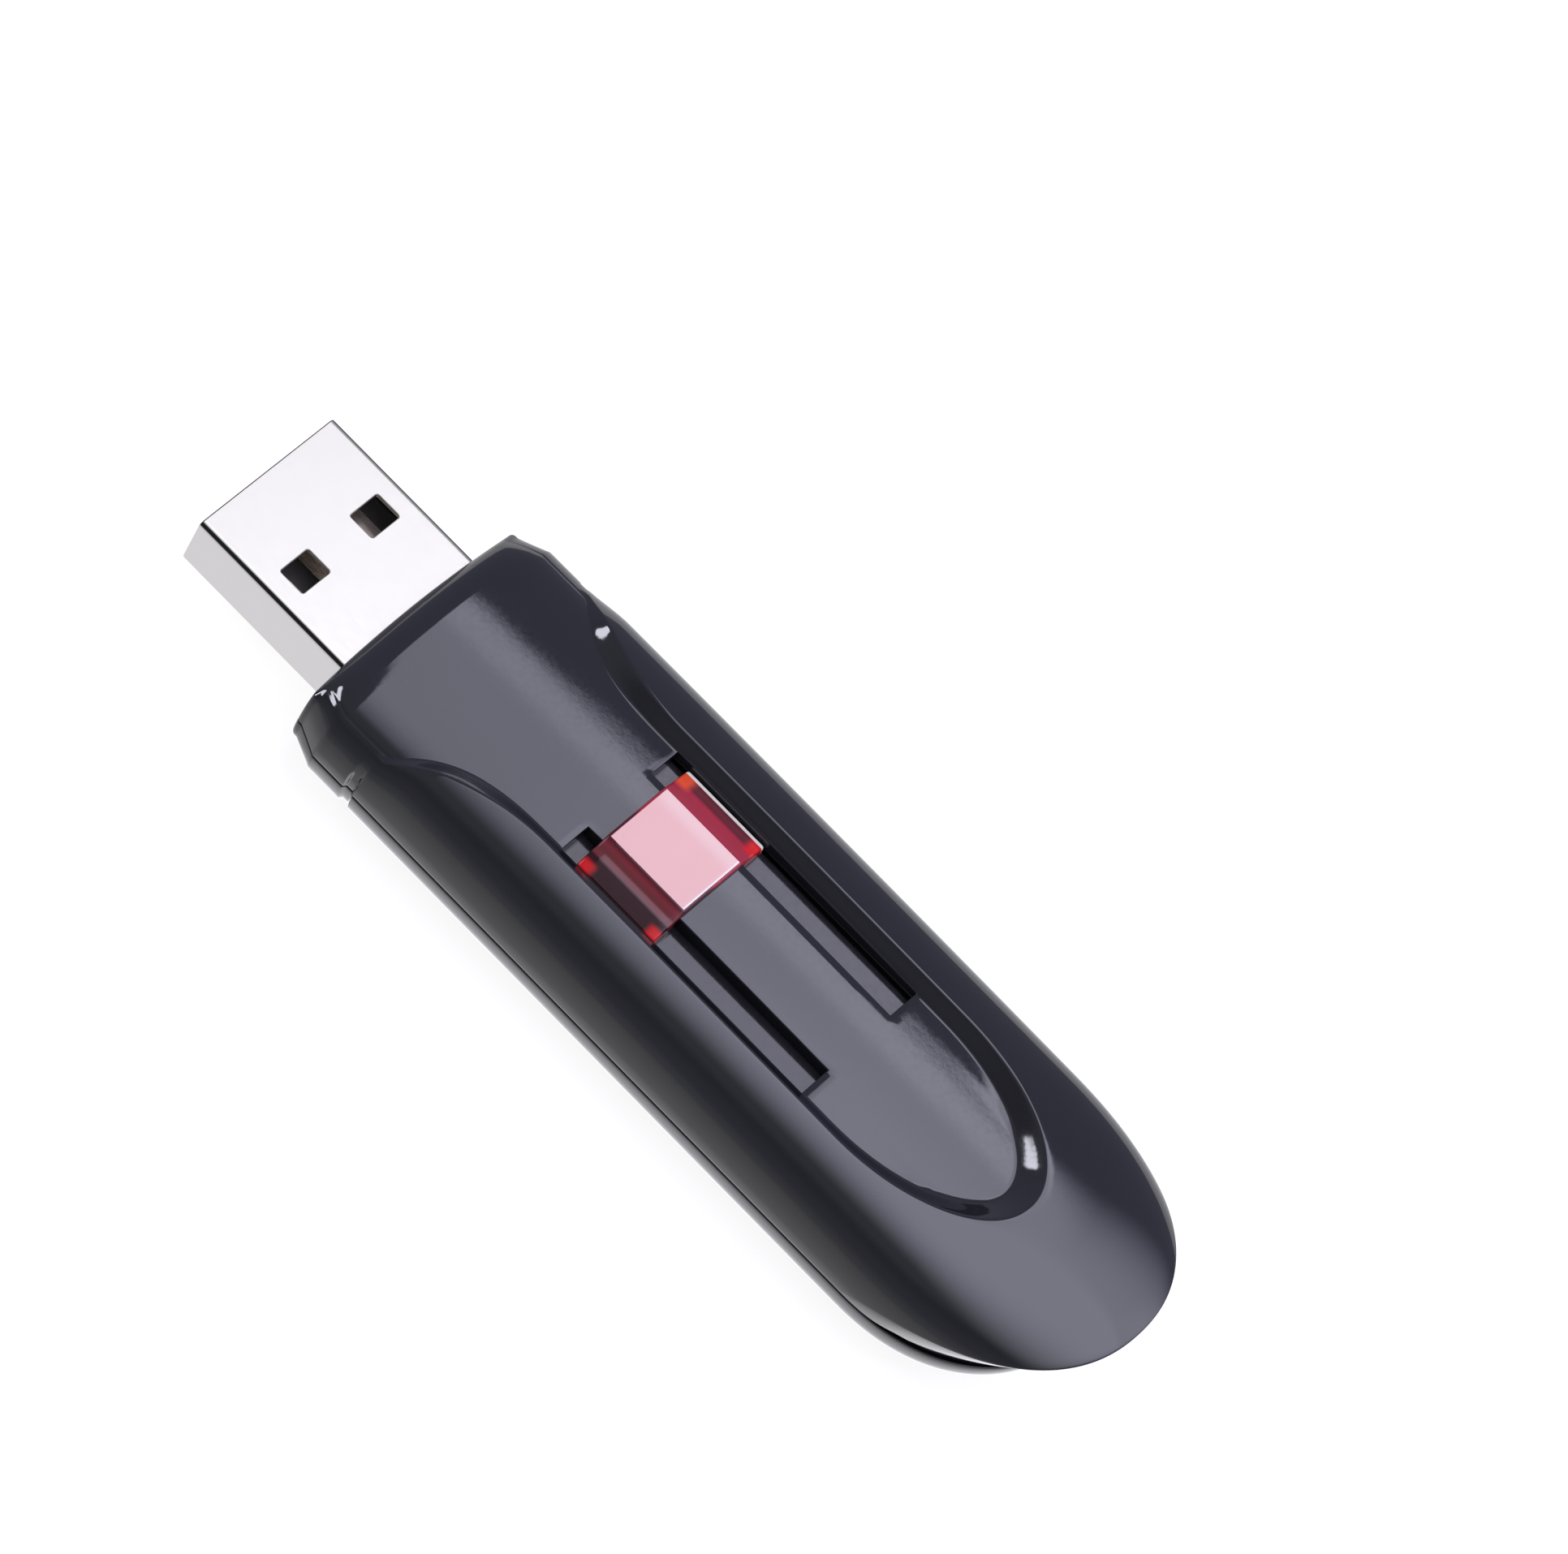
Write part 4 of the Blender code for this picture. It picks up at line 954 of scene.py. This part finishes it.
def plug_tone_and_painted_shade(nodes, base):
    """Broad faces of the plug are a little duller, and painted shade darkens its folded edges and the
    front edges of its broad faces.
    """
    split = nodes.split(nodes.position())
    middle = (PLUG_LOW + PLUG_HIGH) / 2
    rise, out = nodes.size(nodes.minus(split["Z"], middle.z)), nodes.size(split["Y"])
    half_z = PLUG_HIGH.z - middle.z
    base = nodes.blend(nodes.near(rise, half_z, BROAD_DEPTH), base, PLUG_BROAD)
    # Painted shade: dark lines along the folded edges and along the front of the broad faces
    corner = nodes.times(nodes.near(rise, half_z, EDGE_SHADE_DEPTH),
                         nodes.near(out, PLUG_HIGH.y, EDGE_SHADE_IN))
    front = nodes.times(nodes.near(rise, half_z, FRONT_SHADE_DEPTH),
                        nodes.near(split["X"], PLUG_HIGH.x, FRONT_SHADE_IN))
    return nodes.blend(nodes.math("MAXIMUM", corner, front), base, PLUG_EDGE_SHADE)


def painted_face_light(nodes, base):
    """The face's painted light: lighter on its far side, a dark red painted shade line in front and a
    pale painted highlight line behind.
    """
    split = nodes.split(nodes.position())
    # Painted light on the far side, then a painted shade line at the front
    base = nodes.blend(nodes.ramp(split["Y"], *LIT_SIDE_SPAN), base, FACE_LIT_SIDE)
    base = nodes.blend(nodes.near(split["X"], BUTTON_HIGH.x, FACE_FRONT_SHADE), base, FLANK_EDGE_SHADE)
    # Painted highlight: a pale line at the rear
    rear = nodes.minus(split["X"], BUTTON_LOW.x)
    return nodes.blend(nodes.ramp(rear, *REAR_HIGHLIGHT_SPAN), base, FACE_REAR_HIGHLIGHT)


# ---------------------------------------------------------------- stage


def panel_light(nodes, across, along):
    """The overhead panel: how much of it is seen in a direction, and how bright it is there.

    across and along are the direction's angles in degrees across and along the drive."""
    reach, slope, steep = PANEL_DRIFT
    start, growth, limit = PANEL_BLUR
    behind = nodes.math("MAXIMUM", nodes.minus(PANEL_TURN, along), 0.0)
    first = nodes.times(nodes.math("MINIMUM", behind, reach), slope)
    rest = nodes.math("MAXIMUM", nodes.minus(behind, reach), 0.0)
    shift = nodes.plus(first, nodes.times(rest, steep))
    blur = nodes.math("MINIMUM", nodes.plus(nodes.times(behind, growth), start), limit)
    off = nodes.plus(nodes.plus(across, PANEL_FAR), shift)
    far_edge = nodes.ramp(nodes.math("DIVIDE", off, blur), -0.5, 0.5)
    back = nodes.times(nodes.math("MAXIMUM", nodes.minus(0.0, along), 0.0), PANEL_NEAR_DRIFT)
    low = nodes.minus(nodes.plus(back, PANEL_NEAR), across)
    near_edge = nodes.ramp(nodes.math("DIVIDE", low, nodes.plus(back, PANEL_NEAR_BLUR)), 0.0, 1.0)
    seen = nodes.times(nodes.times(near_edge, far_edge),
                       nodes.times(nodes.ramp(along, *PANEL_FRONT), nodes.ramp(along, *PANEL_REAR)))
    level = nodes.ramp(along, *PANEL_LEVEL, False)
    mild = nodes.times(nodes.ramp(across, *MILD_ACROSS, 0.0, MILD_DROP),
                       nodes.ramp(along, *MILD_ALONG))
    level = nodes.times(level, nodes.minus(1.0, mild))
    strip = nodes.times(nodes.ramp(across, *BRIGHT_ACROSS, 0.0, BRIGHT_RISE),
                        nodes.ramp(along, *BRIGHT_ALONG))
    return seen, nodes.times(level, nodes.plus(strip, 1.0))


def studio_world():
    """A dim studio with one large soft panel overhead and a short strip lamp in front."""
    world = bpy.data.worlds.new("studio")
    bpy.context.scene.world = world
    nodes = cleared_nodes(world)
    direction = nodes.add("ShaderNodeTexCoord").outputs["Generated"]
    split = nodes.split(direction)
    across = nodes.times(nodes.math("ARCTAN2", split["Y"], split["Z"]), DEGREES)
    along = nodes.times(nodes.math("ARCSINE", split["X"]), DEGREES)
    seen, level = panel_light(nodes, across, along)
    room = nodes.minus(nodes.ramp(across, *ROOM_FAR), nodes.ramp(across, *ROOM_DIP))
    for step in ROOM_STEPS:
        room = nodes.plus(room, nodes.ramp(across, *step))
    rest = nodes.times(nodes.minus(1.0, seen), room)
    light = nodes.plus(nodes.times(seen, level), rest)
    lamp = 0.0
    for share in LAMP_SHARES:
        place = LAMP_ENDS[0].lerp(LAMP_ENDS[1], share).normalized()
        towards = nodes.add("ShaderNodeVectorMath", {0: direction, 1: place},
                            operation="DOT_PRODUCT").outputs["Value"]
        rim, core = (math.cos(math.radians(LAMP_RADIUS * part)) for part in LAMP_EDGE)
        spot = nodes.ramp(towards, rim, core, 0.0, LAMP_LEVEL)
        lamp = nodes.math("MAXIMUM", spot, lamp)
    light = nodes.plus(light, lamp)
    tint = nodes.blend(nodes.ramp(across, -TINT_TURN, TINT_TURN), FAR_TINT, NEAR_TINT)
    tint = nodes.blend(seen, tint, PANEL_TINT)
    room = nodes.add("ShaderNodeBackground", {"Color": tint, "Strength": light}).outputs[0]
    plain = nodes.add("ShaderNodeBackground", {"Color": BACKDROP}).outputs[0]
    camera = nodes.add("ShaderNodeLightPath").outputs["Is Camera Ray"]
    shader = nodes.add("ShaderNodeMixShader", {0: camera, 1: room, 2: plain}).outputs[0]
    nodes.add("ShaderNodeOutputWorld", {"Surface": shader})


def floor_plane(name, height, made):
    """A large flat sheet that isn't part of the object."""
    bm = bmesh.new()
    bmesh.ops.create_grid(bm, x_segments=1, y_segments=1, size=TABLE_HALF)
    floor = object_from(bm, name)
    floor.location.z = height
    floor.data.materials.append(made)
    return floor


def light_table():
    """A pale floor that glows a little, so that the drive stands on white almost without shadow.

    A second sheet just under it is seen only in reflections: it is brightest close to the
    drive and gets darker towards the near side, away from the panel."""
    made = bpy.data.materials.new("pale floor")
    made.use_nodes = True
    shader = made.node_tree.nodes["Principled BSDF"]
    shader.inputs["Base Color"].default_value = (TABLE_GREY, TABLE_GREY, TABLE_GREY, 1)
    shader.inputs["Roughness"].default_value = 0.9
    shader.inputs["Specular IOR Level"].default_value = 0.0
    shader.inputs["Emission Color"].default_value = (1, 1, 1, 1)
    shader.inputs["Emission Strength"].default_value = TABLE_GLOW
    low = CAD_BOX[0].z
    floor = floor_plane("floor", low - TABLE_DROP, made)
    floor.visible_glossy = False

    mirrored = bpy.data.materials.new("mirrored floor")
    nodes = cleared_nodes(mirrored)
    split = nodes.split(nodes.position())
    glow = nodes.minus(*(nodes.ramp(split["Y"], *side) for side in MIRROR_SIDES))
    past = nodes.math("MINIMUM", nodes.plus(split["X"], TAIL_START - NOSE_X), 0.0)
    span = nodes.plus(nodes.times(past, past), nodes.times(split["Y"], split["Y"]))
    close = nodes.times(nodes.ramp(nodes.math("SQRT", span), *MIRROR_RING),
                        nodes.ramp(split["X"], NOSE_X, NOSE_X - MIRROR_NOSE))
    shader = nodes.add("ShaderNodeEmission", {"Color": MIRROR_TINT,
                                              "Strength": nodes.plus(glow, close)}).outputs[0]
    nodes.add("ShaderNodeOutputMaterial", {"Surface": shader})
    sheet = floor_plane("mirrored_floor", low - MIRROR_DROP, mirrored)
    sheet.visible_camera = False
    sheet.visible_diffuse = False
    sheet.visible_transmission = False
    sheet.visible_shadow = False


def add_camera():
    """A long lens above the near side, rolled so that the drive lies across the picture."""
    azimuth, elevation = math.radians(CAMERA_AZIMUTH), math.radians(CAMERA_ELEVATION)
    back = Vector((math.sin(azimuth) * math.cos(elevation),
                   -math.cos(azimuth) * math.cos(elevation), math.sin(elevation)))
    level = Vector((math.cos(azimuth), math.sin(azimuth), 0))
    roll = math.radians(CAMERA_ROLL)
    right = level * math.cos(roll) + back.cross(level) * math.sin(roll)
    up = back.cross(right)
    data = bpy.data.cameras.new("camera")
    data.lens = CAMERA_LENS
    data.sensor_width = CAMERA_SENSOR
    data.clip_start, data.clip_end = CAMERA_CLIP
    camera = bpy.data.objects.new("camera", data)
    bpy.context.scene.collection.objects.link(camera)
    turn = Matrix((right, up, back)).transposed().to_4x4()
    camera.matrix_world = Matrix.Translation((Vector(AIM) + back * CAMERA_DISTANCE) * MM) @ turn
    bpy.context.scene.camera = camera


# ---------------------------------------------------------------- scene


def small_finishes():
    """Materials of the parts inside, by the node's name."""
    black = finish("carrier plastic", (0.018, 0.017, 0.022), 0.12, ior=1.6, bump=0.01,
                   rough_change=0.03)
    epoxy = {"colour": (0.016, 0.016, 0.018), "roughness": 0.5, "grain": 6.0, "bump": 0.15}
    tan = {"colour": (0.42, 0.28, 0.16), "roughness": 0.45, "grain": 4.0, "bump": 0.1}
    dark = {"colour": (0.02, 0.02, 0.024), "roughness": 0.4, "grain": 4.0, "bump": 0.1}
    along, across = end_marks(SILVER, x_edge=0.28), end_marks(SILVER, y_edge=0.28)
    tan_along = finish("ceramic along", marks=along, **tan)
    tan_across = finish("ceramic across", marks=across, **tan)
    dark_along = finish("resistor along", marks=along, **dark)
    dark_across = finish("resistor across", marks=across, **dark)
    gold = finish("contact gold", (0.58, 0.5, 0.42), 0.25, metallic=0.85, stretch=(0.15, 1, 1))
    made = {"sled_base": black, "sled_cover": black}
    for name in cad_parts:
        if name.startswith("contact_"):
            made[name] = gold
    made["plug_insulator"] = finish("insulator plastic", (0.05, 0.046, 0.045), 0.4, grain=3.0)
    made["circuit_board"] = finish("solder mask", (0.012, 0.09, 0.035), 0.3, marks=trace_marks)
    made["flash_memory_chip"] = finish("memory epoxy", marks=end_marks(SILVER, 0.461), **epoxy)
    made["controller_chip"] = finish("controller epoxy", marks=end_marks(SILVER, 0.43, 0.43), **epoxy)
    made["voltage_regulator"] = finish("regulator epoxy", marks=end_marks(SILVER, 0.3), **epoxy)
    made["crystal_can"] = finish("can metal", (0.72, 0.7, 0.66), 0.3, metallic=1.0, stretch=(0.2, 1, 1))
    made["activity_led"] = finish("lamp resin", (0.85, 0.75, 0.5), 0.2, transmission=0.4,
                                  marks=end_marks(SILVER, y_edge=0.34))
    made["capacitor_input"] = tan_along
    made["ferrite_bead"] = dark_along
    for name in ("capacitor_core", "capacitor_flash_a", "capacitor_flash_b"):
        made[name] = tan_across
    for name in ("resistor_data_plus", "resistor_data_minus"):
        made[name] = dark_along
    made["resistor_led"] = dark_across
    return made


def ease_edges(node, width):
    """Small rounded edges on a kept node, as modifiers."""
    weld = node.modifiers.new("weld", "WELD")
    weld.merge_threshold = 0.000002
    bevel = node.modifiers.new("ease", "BEVEL")
    bevel.width = width * MM
    bevel.segments = 2
    bevel.limit_method = "ANGLE"
    bevel.angle_limit = math.radians(40)
    bevel.use_clamp_overlap = True


def build():
    black = finish("gloss black plastic", (0.010, 0.0105, 0.014), 0.06, ior=1.65,
                   rough_change=0.02, bump=0.01)
    upper_housing(black)
    lower_housing(black)
    steel = finish("plug steel", (0.94, 0.92, 0.9), 0.3, metallic=1.0, colour_change=0.015,
                   stretch=(0.3, 1, 1), bump=0.008, rough_change=0.02, marks=plug_tone_and_painted_shade)
    plug_jacket(steel)
    # The face's pale colour is painted light: it stands for light that the clear red plastic sends back
    # up through its flat top
    face = finish("slider face", (0.9, 0.53, 0.5), 0.35, colour_change=0.03, marks=painted_face_light)
    # The flanks' colour marks are painted shade, painted glow and a painted highlight line
    clear = finish("clear red plastic", (0.42, 0.028, 0.055), 0.1, colour_change=0.1, ior=1.45,
                   transmission=0.1, marks=painted_flank_light)
    thumb_slider(face, clear)
    replaced = ("top_shell", "bottom_shell", "plug_shell", "slider_button")
    finishes = small_finishes()
    for name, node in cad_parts.items():
        if name in replaced:
            continue
        node.data.materials.clear()
        node.data.materials.append(finishes[name])
        ease_edges(node, CARRIER_EASED if name.startswith("sled_") else EASED)
    studio_world()
    light_table()
    add_camera()
    bpy.context.scene.view_settings.view_transform = "Standard"


build()
